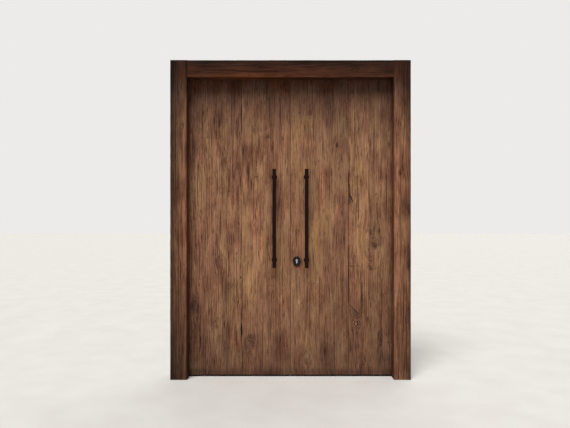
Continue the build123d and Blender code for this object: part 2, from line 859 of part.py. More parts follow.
with BuildPart() as top_bolt_keeper:
    keeper_low = rebate_top + keeper_gap
    half = back_plate_width / 2
    plate = plan(rod_x - half, rod_x + half, back_y, back_y + back_plate_thickness, keeper_low)
    extrude(plate, amount=keeper_height)
    # a staple with a square way through it for the rod
    half_way = rod_diameter / 2 + keeper_hole_play
    reach = half_way + keeper_wall
    staple = plan(rod_x - reach, rod_x + reach, back_y, rod_y + reach, keeper_low)
    extrude(staple, amount=keeper_height)
    fillet(top_bolt_keeper.edges().filter_by(Axis.Z).group_by(Axis.Y)[-1], keeper_wall)
    plate_top = back_y + back_plate_thickness
    way = plan(rod_x - half_way, rod_x + half_way, plate_top, rod_y + half_way, keeper_low)
    extrude(way, amount=keeper_height, mode=Mode.SUBTRACT)
save(top_bolt_keeper, "top_bolt_keeper")
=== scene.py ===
import bpy
import bmesh
import json
import math
import numpy as np
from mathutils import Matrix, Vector


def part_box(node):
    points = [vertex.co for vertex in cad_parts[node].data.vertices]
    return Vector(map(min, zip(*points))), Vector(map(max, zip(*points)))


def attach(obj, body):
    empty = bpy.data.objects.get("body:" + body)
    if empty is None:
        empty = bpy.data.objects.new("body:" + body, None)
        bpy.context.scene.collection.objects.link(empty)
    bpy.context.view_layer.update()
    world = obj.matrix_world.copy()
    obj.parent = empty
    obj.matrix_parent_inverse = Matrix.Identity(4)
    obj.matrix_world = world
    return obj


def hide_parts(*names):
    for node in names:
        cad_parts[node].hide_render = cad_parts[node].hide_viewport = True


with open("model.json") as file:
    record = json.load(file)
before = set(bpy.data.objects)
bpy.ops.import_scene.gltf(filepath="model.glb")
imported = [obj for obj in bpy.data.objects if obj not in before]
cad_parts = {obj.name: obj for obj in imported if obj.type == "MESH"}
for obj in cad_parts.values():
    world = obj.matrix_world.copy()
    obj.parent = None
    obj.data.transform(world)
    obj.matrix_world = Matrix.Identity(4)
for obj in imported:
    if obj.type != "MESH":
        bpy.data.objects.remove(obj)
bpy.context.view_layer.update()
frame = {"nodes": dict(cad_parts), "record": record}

# A double door of weathered oak boards. Every oak piece is the CAD solid cut by a worn
# skin, so its joints, recesses and holes stay, and its faces get the wear of old timber.
# Across is x and along is z on upright timber, and the other way round on lying timber.

scene = bpy.context.scene
nodes = frame["nodes"]
mm = 1000
print("frame loaded:", len(nodes), "nodes")


def linear(hexColour):
    channels = [int(hexColour[i:i + 2], 16) / 255 for i in (1, 3, 5)]
    return (*[c / 12.92 if c <= 0.04045 else ((c + 0.055) / 1.055) ** 2.4 for c in channels], 1.0)


def addNode(tree, kind, values=None, links=None, stops=None, **settings):
    # a link from a node stands for its first output
    node = tree.nodes.new(kind if "Node" in kind else "ShaderNode" + kind)
    for key, value in settings.items():
        setattr(node, key, value)
    for socket, value in (values or {}).items():
        node.inputs[socket].default_value = value
    for socket, source in (links or {}).items():
        tree.links.new(source.outputs[0] if hasattr(source, "outputs") else source, node.inputs[socket])
    if stops:
        ramp = node.color_ramp
        while len(ramp.elements) < len(stops):
            ramp.elements.new(0.5)
        for element, (place, colour) in zip(ramp.elements, stops):
            element.position, element.color = place, linear(colour)
    return node


def startMaterial(name):
    material = bpy.data.materials.new(name)
    material.use_nodes = True
    material.node_tree.nodes.clear()
    return material, material.node_tree


def finishMaterial(tree, values, links):
    shader = addNode(tree, "BsdfPrincipled", values, links)
    addNode(tree, "OutputMaterial", links={"Surface": shader})


def noiseField(tree, place, cells, detail, roughness):
    # noise with cells of the given sizes in millimetres
    mapped = addNode(tree, "Mapping", {"Scale": [mm / cell for cell in cells]}, {"Vector": place})
    return addNode(tree, "TexNoise", {"Scale": 1.0, "Detail": detail, "Roughness": roughness}, {"Vector": mapped})


def addObject(name, data):
    item = bpy.data.objects.new(name, data)
    scene.collection.objects.link(item)
    return item


# Oak that has stood in the weather: open pores, earlywood worn back and darkened, latewood
# ridges bleached and rubbed pale, near matt. A pattern has the width and length of its cells
# in millimetres, and how much it lightens or darkens.
weatheredOak = {
    "name": "weatheredOak",
    "stops": [(0.0, "#24140c"), (0.2, "#472e1e"), (0.38, "#6a4933"), (0.52, "#826047"),
              (0.72, "#9f7a5e"), (1.0, "#c39f82")],
    "tints": [(0.14, "#ffc494"), (0.33, "#f3e4ec"), (0.45, "#ffede6"), (0.51, "#fff8f1"),
              (0.58, "#fff7de"), (0.66, "#fff7e2")],
    "knotColour": "#301a10", "crackColour": "#220f08",
    "patterns": {"fibre": (1.9, 60, 0.27), "streak": (7, 260, 0.44), "broad": (26, 330, 0.34),
                 "mottle": (120, 250, 0.68), "line": (5.0, 110, 0.42), "pore": (0.9, 16, 0.16), "ring": (0.20,)},
    "ringSpacing": 12, "wander": 0.042, "roughness": (0.64, 0.90), "sheen": 0.2, "bump": 0.0011,
}
# Frame timber, sawn larger and oiled darker. The pale lines on its arrises come from the tone of each piece: rubbed
# pale on the posts, a painted highlight on the head.
frameOak = {
    "name": "frameOak",
    "stops": [(0.0, "#20130c"), (0.22, "#442c1f"), (0.42, "#674834"), (0.56, "#805d47"),
              (0.76, "#a1795c"), (1.0, "#c69d78")],
    "tints": [(0.14, "#ffc494"), (0.33, "#f3e4ec"), (0.45, "#ffede6"), (0.51, "#fff8f1"),
              (0.58, "#fff6de"), (0.66, "#fff7e2")],
    "knotColour": "#26130b", "crackColour": "#1b0c06",
    "patterns": {"fibre": (2.4, 80, 0.27), "streak": (9, 340, 0.40), "broad": (36, 420, 0.38),
                 "mottle": (100, 260, 0.62), "line": (5.5, 150, 0.36), "pore": (1.0, 18, 0.18), "ring": (0.18,)},
    "ringSpacing": 14, "wander": 0.026, "roughness": (0.62, 0.88), "sheen": 0.12, "bump": 0.0011,
}
# Inner timber, planed and oiled: even in tone, with a low sheen and clear growth rings.
planedOak = {
    "name": "planedOak",
    "stops": [(0.0, "#54361f"), (0.3, "#754e2f"), (0.5, "#8b613c"), (0.7, "#9d7148"), (1.0, "#b98c5f")],
    "tints": [(0.36, "#fff4ee"), (0.5, "#fffbf4"), (0.64, "#fffaea")],
    "knotColour": "#40281a", "crackColour": "#1d130c",
    "patterns": {"fibre": (1.8, 110, 0.26), "streak": (7, 380, 0.32), "broad": (55, 800, 0.26),
                 "mottle": (70, 300, 0.2), "line": (2.5, 160, 0.12), "pore": (0.8, 12, 0.16), "ring": (0.20,)},
    "ringSpacing": 7, "wander": 0.012, "roughness": (0.46, 0.64), "sheen": 0.35, "bump": 0.0004,
}
# how deep each pattern's cells go in millimetres, and the detail and roughness of its noise
noises = {"fibre": (5, 4, 0.6), "streak": (30, 5, 0.62), "broad": (90, 3, 0.5), "mottle": (90, 4, 0.55),
          "line": (12, 2, 0.5), "pore": (3, 2, 0.5)}
# cells of the sway that bends the patterns, in millimetres
swayCells = (45, 90, 120)
# how much larger the hue's cells are than the mottle's, and their depth in millimetres
hueCells = {"wider": 1.3, "longer": 2.2, "depth": 120}


def oakMaterial(look):
    material, tree = startMaterial(look["name"])
    strengths = {name: strength for name, (*_, strength) in look["patterns"].items()}
    marks = {name: addNode(tree, "Attribute", attribute_name=name).outputs["Fac"]
             for name in ("ring", "vein", "eye", "tone", "warmth", "knot", "crack")}
    grain = addNode(tree, "Attribute", attribute_name="grain").outputs["Vector"]
    sway = noiseField(tree, grain, swayCells, 3.0, 0.55)
    bent = addNode(tree, "VectorMath", {1: (look["wander"], 0, 0)}, {0: sway.outputs["Color"], 2: grain},
                   operation="MULTIPLY_ADD")
    noise = {}
    for name, (depth, *kind) in noises.items():
        width, length, _ = look["patterns"][name]
        noise[name] = noiseField(tree, bent, (width, depth, length), *kind)
    turns = addNode(tree, "Math", {1: mm / look["ringSpacing"]}, {0: marks["ring"]}, operation="MULTIPLY")
    shaken = addNode(tree, "Math", {1: 2.2}, {0: noise["streak"], 2: turns}, operation="MULTIPLY_ADD")
    part = addNode(tree, "Math", links={0: shaken}, operation="FRACT")
    noise["ring"] = addNode(tree, "MapRange", {"From Min": 0.0, "From Max": 0.6}, {"Value": part},
                            interpolation_type="SMOOTHSTEP")

    # the fine patterns together, as strong as the piece's vein value says
    balance = -0.5 * (strengths["fibre"] + strengths["streak"])
    fibres = addNode(tree, "Math", {1: strengths["fibre"], 2: balance}, {0: noise["fibre"]}, operation="MULTIPLY_ADD")
    streaks = addNode(tree, "Math", {1: strengths["streak"]}, {0: noise["streak"], 2: fibres},
                      operation="MULTIPLY_ADD")
    lines, pores = (
        addNode(tree, "MapRange", {"From Min": low, "From Max": high, "To Max": strengths[name]},
                {"Value": noise[name]}) for name, low, high in (("line", 0.60, 0.74), ("pore", 0.36, 0.22)))
    hollows = addNode(tree, "Math", links={0: lines, 1: pores}, operation="ADD")
    fine = addNode(tree, "Math", links={0: streaks, 1: hollows}, operation="SUBTRACT")
    start = 0.5 - 0.5 * sum(strengths[name] for name in ("broad", "mottle", "ring"))
    level = addNode(tree, "Math", {2: start}, {0: fine, 1: marks["vein"]}, operation="MULTIPLY_ADD")
    for name in ("broad", "mottle", "ring"):
        level = addNode(tree, "Math", {1: strengths[name]}, {0: noise[name], 2: level}, operation="MULTIPLY_ADD")
    # round a knot the rings show clearest
    gap = addNode(tree, "Math", {0: 0.8}, {1: noise["ring"]}, operation="SUBTRACT", use_clamp=True)
    eyeShade = addNode(tree, "Math", links={0: gap, 1: marks["eye"]}, operation="MULTIPLY")
    lightness = addNode(tree, "Math", links={0: level, 1: eyeShade}, operation="SUBTRACT")
    wood = addNode(tree, "ValToRGB", links={0: lightness}, stops=look["stops"])

    # darker patches turn mauve and lighter ones golden
    width, length, _ = look["patterns"]["mottle"]
    hueSize = (width * hueCells["wider"], hueCells["depth"], length * hueCells["longer"])
    hue = marks["warmth"]
    for source in (noiseField(tree, bent, hueSize, 3, 0.5), noise["mottle"]):
        hue = addNode(tree, "Math", {1: 0.5}, {0: source, 2: hue}, operation="MULTIPLY_ADD")
    tint = addNode(tree, "ValToRGB", links={0: hue}, stops=look["tints"])
    tinted = addNode(tree, "VectorMath", links={0: wood, 1: tint}, operation="MULTIPLY")
    toned = addNode(tree, "VectorMath", links={0: tinted, "Scale": marks["tone"]}, operation="SCALE")
    knotShade = addNode(tree, "Math", {1: 0.9}, {0: marks["knot"]}, operation="MULTIPLY")
    colour = toned.outputs[0]
    for dark, share in (("knotColour", knotShade), ("crackColour", marks["crack"])):
        colour = addNode(tree, "Mix", {7: linear(look[dark])}, {0: share, 6: colour}, data_type="RGBA").outputs[2]

    low, high = look["roughness"]
    rough = addNode(tree, "MapRange", {"From Min": 0.2, "From Max": 0.8, "To Min": high, "To Max": low},
                    {"Value": lightness})
    raised = addNode(tree, "Math", {1: 0.5}, {0: noise["fibre"], 2: lightness}, operation="MULTIPLY_ADD")
    bump = addNode(tree, "Bump", {"Strength": 1.0, "Distance": look["bump"]}, {"Height": raised})
    finishMaterial(tree, {"Specular IOR Level": look["sheen"]},
                   {"Base Color": colour, "Roughness": rough, "Normal": bump})
    return material


oaks = {look["name"]: oakMaterial(look) for look in (weatheredOak, frameOak, planedOak)}
print("oak materials made")


# The wood field: where the grain runs, and how the timber has worn. Lengths are in metres,
# a is across the grain, c along it, and psi the place across that a grain line started from.

# the wander of the grain: its size and cells, its reach round a knot, and how near an edge it ends
wander = {"shift": 0.007, "across": 0.16, "along": 0.42, "knotReach": 1.7, "edge": 0.02, "rounds": 14}
# relief of each face: depth, cell across the grain, cell along it, seed
relief = {
    "show": [(0.0007, 0.017, 0.45, 1), (0.0005, 0.0065, 0.16, 2)],
    "hollows": [(0.0006, 0.11, 0.30, 3)],
    "side": [(0.0006, 0.016, 0.4, 11), (0.0005, 0.006, 0.15, 13), (0.0005, 0.1, 0.3, 15)],
    "back": [(0.0005, 0.016, 0.4, 21), (0.0004, 0.006, 0.15, 22)],
}
# how far the skin stays inside the CAD solid and runs past its ends, the step of its closer
# rows, and how close two columns may be as a share of their step
skin = {"inside": 0.0001, "least": 0.00006, "ends": 0.003, "fineRow": 0.0035, "apart": 0.35}
# where mesh lines run on a rounded arris, as shares of its radius
arcShares = (0, 0.12, 0.4, 1)
splitDepth = 0.003
# a knot's relief, sunk at its rim and raised at its heart: depth, place and width in half widths
knotRelief = [(0.0011, 0.9, 0.28), (-0.0004, 0, 0.5)]
# noises that run along the timber only: cell, row of the lattice, seed
lineNoises = {"arris": (0.05, 0, 4), "chip": (0.03, 0, 5), "pith": (0.9, 0, 31), "bow": (0.55, 3, 32),
              "seam": (0.07, 7, 34), "seamGaps": (0.31, 5, 37)}
# where the growth rings' heart is, and how far it wanders
pith = {"aside": 0.03, "behind": (0.015, 0.05), "taper": 0.025, "drift": 0.03}
# how the rings bow along the timber, and wave over cells on its face
ringBend = {"bow": 0.016, "wave": 0.007, "across": 0.05, "along": 0.22, "seed": 35}
# a knot's uneven outline, rings, dark core and rim, in half widths
knotLook = {"cell": 0.7, "seed": 36, "uneven": 0.7, "eye": 1.4, "spacing": 0.55, "shake": 0.28, "core": 0.7,
            "rim": 0.35, "rimWidth": 0.2}
# how dark cracks, chips and splits are painted, and the dirt in the joints beside a board
darkening = {"crack": 1.3, "spread": 1.5, "chip": 1.5, "reach": 1.8, "joint": 2.4, "width": 0.0022, "wider": 0.0030}
# ranges of the random drying checks and pin knots
check = {"fromEdge": 0.008, "halfWidth": (0.0007, 0.0018), "depth": (0.0008, 0.0024), "seed": 100}
pin = {"fromEdge": 0.02, "fromEnd": 0.05, "size": (0.004, 0.009), "longer": (1.0, 2.0), "look": (0.4, 0.6, 0.3),
       "seed": 200}
# from which angle in degrees an edge stays sharp
creases = {"timber": 32, "screw": 35}
# tone patches break up over cells of these shares of their size
patchCells = {"across": 0.35, "along": 0.45, "seed": 33}
# how deep below the face its marks reach
markDepth = {"face": 0.016, "chip": 0.02, "deepChip": 0.008}
allBare = {"side0": True, "side1": True, "back": True}


def latticeValue(i, j, seed):
    # a fixed pseudo-random value from 0 to 1 for each lattice point, by integer hashing
    h = (i * 374761393 + j * 668265263 + seed * 974634777) & 0xFFFFFFFF
    h = ((h ^ (h >> 13)) * 1274126177) & 0xFFFFFFFF
    return ((h ^ (h >> 16)) & 0xFFFF) / 65535.0


def softNoise(u, v, seed):
    # smooth noise from 0 to 1, one cell per unit
    i, j = np.floor(u).astype(np.int64), np.floor(v).astype(np.int64)
    fu, fv = u - i, v - j
    fu, fv = fu * fu * (3 - 2 * fu), fv * fv * (3 - 2 * fv)
    near = latticeValue(i, j, seed) * (1 - fu) + latticeValue(i + 1, j, seed) * fu
    far = latticeValue(i, j + 1, seed) * (1 - fu) + latticeValue(i + 1, j + 1, seed) * fu
    return near * (1 - fv) + far * fv


def lineNoise(timber, name, c, side=0):
    cell, row, seed = lineNoises[name]
    return softNoise(c / cell, c * 0 + row + side, timber["seed"] + seed)


def bell(distance, width):
    return np.exp(-(distance / width) ** 2)


def spot(a, c, place, reach=1.0):
    # 1 at a place, fading round it; a place is across, height, half width, half height
    pa, pc, width, height = place
    return np.exp(-((a - pa) / (reach * width)) ** 2 - ((c - pc) / (reach * height)) ** 2)


def knotRadius(a, c, place):
    # how far a point is from a knot's heart, in half widths
    pa, pc, width, height = place
    return np.sqrt(((a - pa) / width) ** 2 + ((c - pc) / height) ** 2)


def within(c, low, high):
    # where a height is along a run from 0 to 1, and whether it is in it
    return np.clip((c - low) / (high - low), 0, 1), (c > low) & (c < high)


def grainShift(timber, a, c):
    # how far the grain line through a point has been pushed across
    shift = wander["shift"] * (softNoise(a / wander["across"], c / wander["along"], timber["seed"]) - 0.5)
    for *place, push, _, _ in timber["knots"]:
        shift = shift + push * (a - place[0]) * spot(a, c, place, wander["knotReach"])
    low, high = timber["across"]
    return shift * np.clip(np.minimum(a - low, high - a) / wander["edge"], 0, 1)


def settle(timber, psi, c):
    # finds where a grain line runs at each height
    a = psi.copy()
    for _ in range(wander["rounds"]):
        a = psi + grainShift(timber, a, c)
    return a


def crackShape(crack, psi, c, widen=1.0):
    # 1 in the middle of a drying crack, 0 outside it
    line, low, high, halfWidth, _ = crack
    t, inside = within(c, low, high)
    ends = np.clip(4 * np.minimum(t, 1 - t), 0, 1) ** 0.6
    wide = widen * halfWidth * (0.35 + 0.65 * ends)
    return np.clip(1 - np.abs(psi - line) / wide, 0, 1) * ends * inside


def chipShape(timber, chip, a, c):
    # wood broken out of a board's edge, as a share of its full depth
    low, high, topWidth, footWidth, _, side = chip
    fromEdge = (a - timber["across"][0 if side < 0 else 1]) * -side
    t, inside = within(c, low, high)
    width = footWidth + (topWidth - footWidth) * t
    width = width * (0.75 + 0.5 * lineNoise(timber, "chip", c, side))
    ends = np.clip(8 * np.minimum(t, 1 - t), 0, 1) ** 0.5
    return np.clip(1.6 * (1 - np.maximum(fromEdge, 0) / np.maximum(width * ends, 1e-4)), 0, 1) * inside


def splitShape(split, a, c):
    # a crack that runs across the grain, as a share of its full strength
    a0, c0, a1, c1, halfWidth, strength = split
    runA, runC = a1 - a0, c1 - c0
    t = np.clip(((a - a0) * runA + (c - c0) * runC) / (runA ** 2 + runC ** 2), 0, 1)
    away = np.hypot(a - a0 - t * runA, c - c0 - t * runC)
    away = away / (0.65 + 0.7 * softNoise(c / 0.014, a / 0.014, 51))
    taper = 1.05 - 0.6 * np.abs(2 * t - 1)
    return strength * np.clip(1.5 - 1.5 * away / (halfWidth * taper), 0, 1)


def wornLayers(timber, face, across, along, seedShift=0):
    # the ridges and hollows of a worn face
    rough = 0.0
    for depth, cellAcross, cellAlong, seed in relief[face]:
        noise = softNoise(across / cellAcross, along / cellAlong, timber["seed"] + seed + seedShift)
        rough = rough + timber["wear"] * depth * noise
    return rough


def arrisDrop(distance, radius):
    # how far a rounded arris falls back at a distance from the edge
    inside = np.clip(distance, 0, radius)
    return radius - np.sqrt(np.maximum(radius ** 2 - (radius - inside) ** 2, 0))


def wornDepth(timber, a, psi, c):
    # how far the show face has worn back
    depth = skin["inside"] + wornLayers(timber, "show", psi, c) + wornLayers(timber, "hollows", a, c)
    low, high = timber["across"]
    for distance in (a - low, high - a):
        ragged = timber["radius"] * (0.7 + 0.6 * lineNoise(timber, "arris", c))
        depth = depth + np.where(distance < ragged, arrisDrop(distance, ragged), 0)
    for crack in timber["cracks"]:
        *_, deep = crack
        depth = depth + deep * crackShape(crack, psi, c)
    for chip in timber["chips"]:
        *_, deep, _ = chip
        depth = np.maximum(depth, deep * chipShape(timber, chip, a, c))
    for split in timber["splits"]:
        depth = depth + splitDepth * splitShape(split, a, c)
    for *place, _, _, _ in timber["knots"]:
        r = knotRadius(a, c, place)
        depth = depth + timber["wear"] * sum(deep * bell(r - at, width) for deep, at, width in knotRelief)
    return np.maximum(depth, skin["least"])


def showColumns(timber):
    # grain lines that the mesh's columns follow, closer at arrises and cracks
    low, high = timber["across"]
    step, radius = timber["column"], timber["radius"]
    inner = np.arange(low + radius + step, high - radius - step / 2, step)
    marks = [line + k * halfWidth for line, _, _, halfWidth, _ in timber["cracks"] for k in (-1, 0, 1)]
    marks = [mark for mark in marks if low + radius < mark < high - radius]
    inner = [x for x in inner if all(abs(x - mark) > skin["apart"] * step for mark in marks)]
    lowArc = [low + radius * share for share in arcShares]
    highArc = [high - radius * share for share in reversed(arcShares)]
    beyondLow = [] if timber["bare"]["side0"] else [low - timber["margin"]]
    beyondHigh = [] if timber["bare"]["side1"] else [high + timber["margin"]]
    return np.array(beyondLow + lowArc + sorted(inner + marks) + highArc + beyondHigh)


def sideFace(timber, number, rows):
    # one side of the skin: worn where it shows, and clear of the CAD solid where it doesn't
    front, back = timber["depth"]
    x, inwards = ((timber["across"][0], 1), (timber["across"][1], -1))[number]
    radius = timber["radius"]
    backRadius = timber["backRadius"] if timber["bare"]["back"] else 0.0
    start, end = front + radius, back - backRadius
    if timber["bare"][f"side{number}"]:
        stations = np.linspace(start, end, max(3, round((end - start) / timber["sideColumn"])))[1:]
        bb, cc = np.meshgrid(stations, rows)
        return x + inwards * (skin["inside"] + wornLayers(timber, "side", bb, cc, number)), bb
    bb = np.meshgrid(np.array([end]), rows)[0]
    return bb * 0 + x - inwards * timber["margin"], bb + timber["margin"] * (0 if timber["bare"]["back"] else 1)


def backFace(timber, rows):
    low, high = timber["across"]
    radius, step = timber["backRadius"], timber["backColumn"]
    flat = np.arange(high - radius - step, low + radius + step / 2, -step)
    backs = np.concatenate(([high - share * radius for share in arcShares[1:]], flat,
                            [low + share * radius for share in reversed(arcShares[1:])]))
    aa, cc = np.meshgrid(backs, rows)
    rough = skin["inside"] + wornLayers(timber, "back", aa, cc)
    return aa, timber["depth"][1] - rough - arrisDrop(np.minimum(aa - low, high - aa), radius)


def reworked(mesh, change):
    work = bmesh.new()
    work.from_mesh(mesh)
    change(work)
    work.to_mesh(mesh)
    work.free()
    return mesh


def tubeMesh(name, points, size):
    # a closed tube through rings of points, with so many points to a ring
    here = np.arange(size)
    onward = (here + 1) % size
    faces = []
    for ring in range(0, len(points) - size, size):
        faces += np.stack((ring + here, ring + onward, ring + size + onward, ring + size + here), -1).tolist()
    faces += [list(range(size - 1, -1, -1)), list(range(len(points) - size, len(points)))]
    mesh = bpy.data.meshes.new(name)
    mesh.from_pydata(points, [], faces)
    return mesh


def wornSkin(timber):
    # a closed block round the timber, whose faces that don't show stand clear of the CAD solid
    foot, head = timber["span"]
    rows = np.linspace(foot, head, max(2, round((head - foot) / timber["row"])))
    for start, end in timber["fine"]:
        rows = np.concatenate((rows[(rows < start) | (rows > end)], np.arange(start, end, skin["fineRow"])))
    rows = np.concatenate(([foot - skin["ends"]], np.sort(rows), [head + skin["ends"]]))
    psi, c = np.meshgrid(showColumns(timber), rows)
    a = settle(timber, psi, c)
    pieces = [(a, timber["depth"][0] + wornDepth(timber, a, psi, c)), sideFace(timber, 1, rows)]
    if timber["bare"]["back"]:
        pieces.append(backFace(timber, rows))
    aa, bb = sideFace(timber, 0, rows)
    pieces.append((aa[:, ::-1], bb[:, ::-1]))
    a, b = (np.concatenate([piece[k] for piece in pieces], 1) for k in (0, 1))
    count = a.shape[1]
    c = np.repeat(rows[:, None], count, 1)
    points = np.stack((a, b, c) if timber["upright"] else (c, b, a), -1).reshape(-1, 3)
    mesh = tubeMesh("skin", points.tolist(), count)
    reworked(mesh, lambda work: bmesh.ops.triangulate(work, faces=work.faces[:]))
    return reworked(mesh, lambda work: bmesh.ops.recalc_face_normals(work, faces=work.faces[:]))


def solidCopy(node):
    # the CAD node's mesh with its loose triangles joined
    mesh = nodes[node].data.copy()
    return reworked(mesh, lambda work: bmesh.ops.remove_doubles(work, verts=work.verts[:], dist=1e-6))


def grownRings(timber, a, psi, c, depth, rng):
    # the growth rings round the pith, bent round each knot, and the knots' own dark and rings
    low, high = timber["across"]
    aside, behind, taper = (rng.uniform(*span) for span in (
        (-pith["aside"], pith["aside"]), pith["behind"], (-pith["taper"], pith["taper"])))
    onFace = np.clip(1 - depth / markDepth["face"], 0, 1)
    middle = (low + high) / 2 + aside + pith["drift"] * (lineNoise(timber, "pith", c) - 0.5)
    ring = np.sqrt((psi - middle) ** 2 + (depth + behind) ** 2) + taper * c
    ring = ring + ringBend["bow"] * lineNoise(timber, "bow", c)
    waves = softNoise(psi / ringBend["across"], c / ringBend["along"], timber["seed"] + ringBend["seed"])
    ring = ring + ringBend["wave"] * waves
    knot, eyes = np.zeros_like(a), np.zeros_like(a)
    for *place, _, dark, rings in timber["knots"]:
        ka, kc, width, height = place
        r = knotRadius(a, c, place)
        cell, seed = knotLook["cell"], timber["seed"] + knotLook["seed"]
        wobble = softNoise((a - ka) / (cell * width), (c - kc) / (cell * height), seed) - 0.5
        eye = np.exp(-(r / knotLook["eye"]) ** 6) * onFace * min(4 * rings, 1)
        ring = ring * (1 - eye) + eye * knotLook["spacing"] * (r + knotLook["shake"] * wobble) * width
        eyes = eyes * (1 - eye) + eye * rings
        ragged = r * (1 + knotLook["uneven"] * wobble)
        core = np.exp(-(ragged / knotLook["core"]) ** 4)
        core = core + knotLook["rim"] * bell(ragged - 1, knotLook["rimWidth"])
        knot = np.maximum(knot, core * onFace * dark)
    return ring, knot, eyes


def crackDarkening(timber, a, psi, c, depth):
    # how dark the cracks, chips and splits are painted, and the dirt in the joints beside the board
    low, high = timber["across"]
    onFace = np.clip(1 - depth / markDepth["face"], 0, 1)
    nearFace = np.clip(darkening["reach"] - depth / markDepth["face"], 0, 1)
    crack = np.zeros_like(a)
    for line in timber["cracks"]:
        shape = np.clip(darkening["crack"] * crackShape(line, psi, c, darkening["spread"]), 0, 1)
        crack = np.maximum(crack, shape * nearFace)
    for chip in timber["chips"]:
        *_, deep, _ = chip
        reach = np.clip(darkening["chip"] - depth / markDepth["chip"], 0, 1) * min(deep / markDepth["deepChip"], 1)
        crack = np.maximum(crack, np.clip(darkening["chip"] * chipShape(timber, chip, a, c), 0, 1) * reach)
    for split in timber["splits"]:
        crack = np.maximum(crack, splitShape(split, a, c) * nearFace)
    for distance, strength in zip((a - low, high - a), timber["seams"]):
        ragged = darkening["joint"] * strength * lineNoise(timber, "seam", c)
        ragged = ragged * lineNoise(timber, "seamGaps", c)
        line = bell(np.maximum(distance, 0), darkening["width"] + darkening["wider"] * ragged)
        crack = np.maximum(crack, np.clip(ragged, 0, 1) * line * onFace)
    return crack


def markGrain(timber, mesh):
    # writes what the oak materials read, at every point of the mesh
    points = np.zeros(len(mesh.vertices) * 3)
    mesh.vertices.foreach_get("co", points)
    x, y, z = points.reshape(-1, 3).T
    a, c = (x, z) if timber["upright"] else (z, x)
    rng = np.random.default_rng(timber["seed"])
    psi = a - grainShift(timber, a, c)
    depth = y - timber["depth"][0]
    ring, knot, eyes = grownRings(timber, a, psi, c, depth, rng)
    # tone and warmth carry the painted shade that heightTone and faceTone give, with each piece's own tone and
    # patches
    tone = timber["tone"] * timber["heightTone"](z) * timber["faceTone"](x, y, z)
    for *place, strength in timber["patches"]:
        pa, pc, width, height = place
        patchy = 0.5 + softNoise(psi / (patchCells["across"] * width), c / (patchCells["along"] * height),
                                 timber["seed"] + patchCells["seed"])
        tone = tone * (1 + strength * patchy * spot(a, c, place))
    warmth = timber["warmth"] + timber["faceWarmth"](x, y, z)
    for *place, amount in timber["hues"]:
        warmth = warmth + amount * spot(a, c, place)
    offset = rng.uniform(-5, 5, 3)
    grain = np.stack((psi + offset[0], y + offset[1], c + offset[2]), -1).astype(np.float32)
    mesh.attributes.new("grain", "FLOAT_VECTOR", "POINT").data.foreach_set("vector", grain.ravel())
    marks = {"ring": ring, "tone": tone, "crack": crackDarkening(timber, a, psi, c, depth), "knot": knot, "eye": eyes,
             "vein": timber["vein"], "warmth": warmth}
    for name, values in marks.items():
        mesh.attributes.new(name, "FLOAT", "POINT").data.foreach_set("value", (values + 0 * a).astype(np.float32))


def bakedMesh(piece):
    # what the modifiers make of an object, as a mesh with nothing but its shape
    graph = bpy.context.evaluated_depsgraph_get()
    mesh = bpy.data.meshes.new_from_object(piece.evaluated_get(graph))
    for name in [item.name for item in mesh.attributes if not item.is_required]:
        mesh.attributes.remove(mesh.attributes[name])
    mesh.materials.clear()
    return mesh


def addPiece(name, mesh, body, slot, *replaced):
    # a finished piece, riding on a body
    piece = addObject(name, mesh)
    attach(piece, body)
    if replaced:
        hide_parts(*replaced)


def makeTimber(timber):
    block, solid = addObject("skin", wornSkin(timber)), addObject("solid", solidCopy(timber["node"]))
    cut = block.modifiers.new("cut", "BOOLEAN")
    cut.operation, cut.solver, cut.object = "INTERSECT", "MANIFOLD", solid
    mesh = bakedMesh(block)
    for part in (block, solid):
        bpy.data.objects.remove(part)
    mesh.name = timber["node"]
    markGrain(timber, mesh)
    mesh.shade_smooth()
    mesh.set_sharp_from_angle(angle=math.radians(creases["timber"]))
    mesh.materials.append(oaks[timber["oak"]])
    addPiece("worn_" + timber["node"], mesh, timber["body"], timber["slot"], timber["node"])


def fromTable(table, place):
    # a value read between the rows of a table of places and values
    return np.interp(place, *zip(*table))


# how many of a mark's numbers are lengths; in the tables of marks they are millimetres
lengthCounts = {"fine": 2, "knots": 4, "cracks": 5, "chips": 5, "splits": 5, "hues": 4, "patches": 4}


def inMetres(details):
    converted = dict(details)
    for key, count in lengthCounts.items():
        converted[key] = [(*(length / 1000 for length in row[:count]), *row[count:]) for row in details.get(key, [])]
    return converted


def newTimber(node, body, **changes):
    # a timber with everything that the functions above read; changes override
    lowCorner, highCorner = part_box(node)
    timber = {
        "node": node, "body": body, "upright": True, "oak": "weatheredOak", "slot": "board_oak",
        "depth": (lowCorner.y, highCorner.y), "bare": {"side0": False, "side1": False, "back": False},
        "margin": 0.012, "radius": 0.0015, "backRadius": 0.0015,
        "column": 0.003, "sideColumn": 0.006, "backColumn": 0.012, "row": 0.011,
        "wear": 1.0, "seed": 1, "tone": 1.0, "warmth": 0.0, "vein": 1.0, "seams": (0.0, 0.0),
        "heightTone": lambda z: 1.0, "faceTone": lambda x, y, z: 1.0, "faceWarmth": lambda x, y, z: 0.0,
        **{key: [] for key in lengthCounts},
    }
    timber.update(changes)
    wide, tall = (lowCorner.x, highCorner.x), (lowCorner.z, highCorner.z)
    timber.setdefault("across", wide if timber["upright"] else tall)
    timber["span"] = tall if timber["upright"] else wide
    return timber


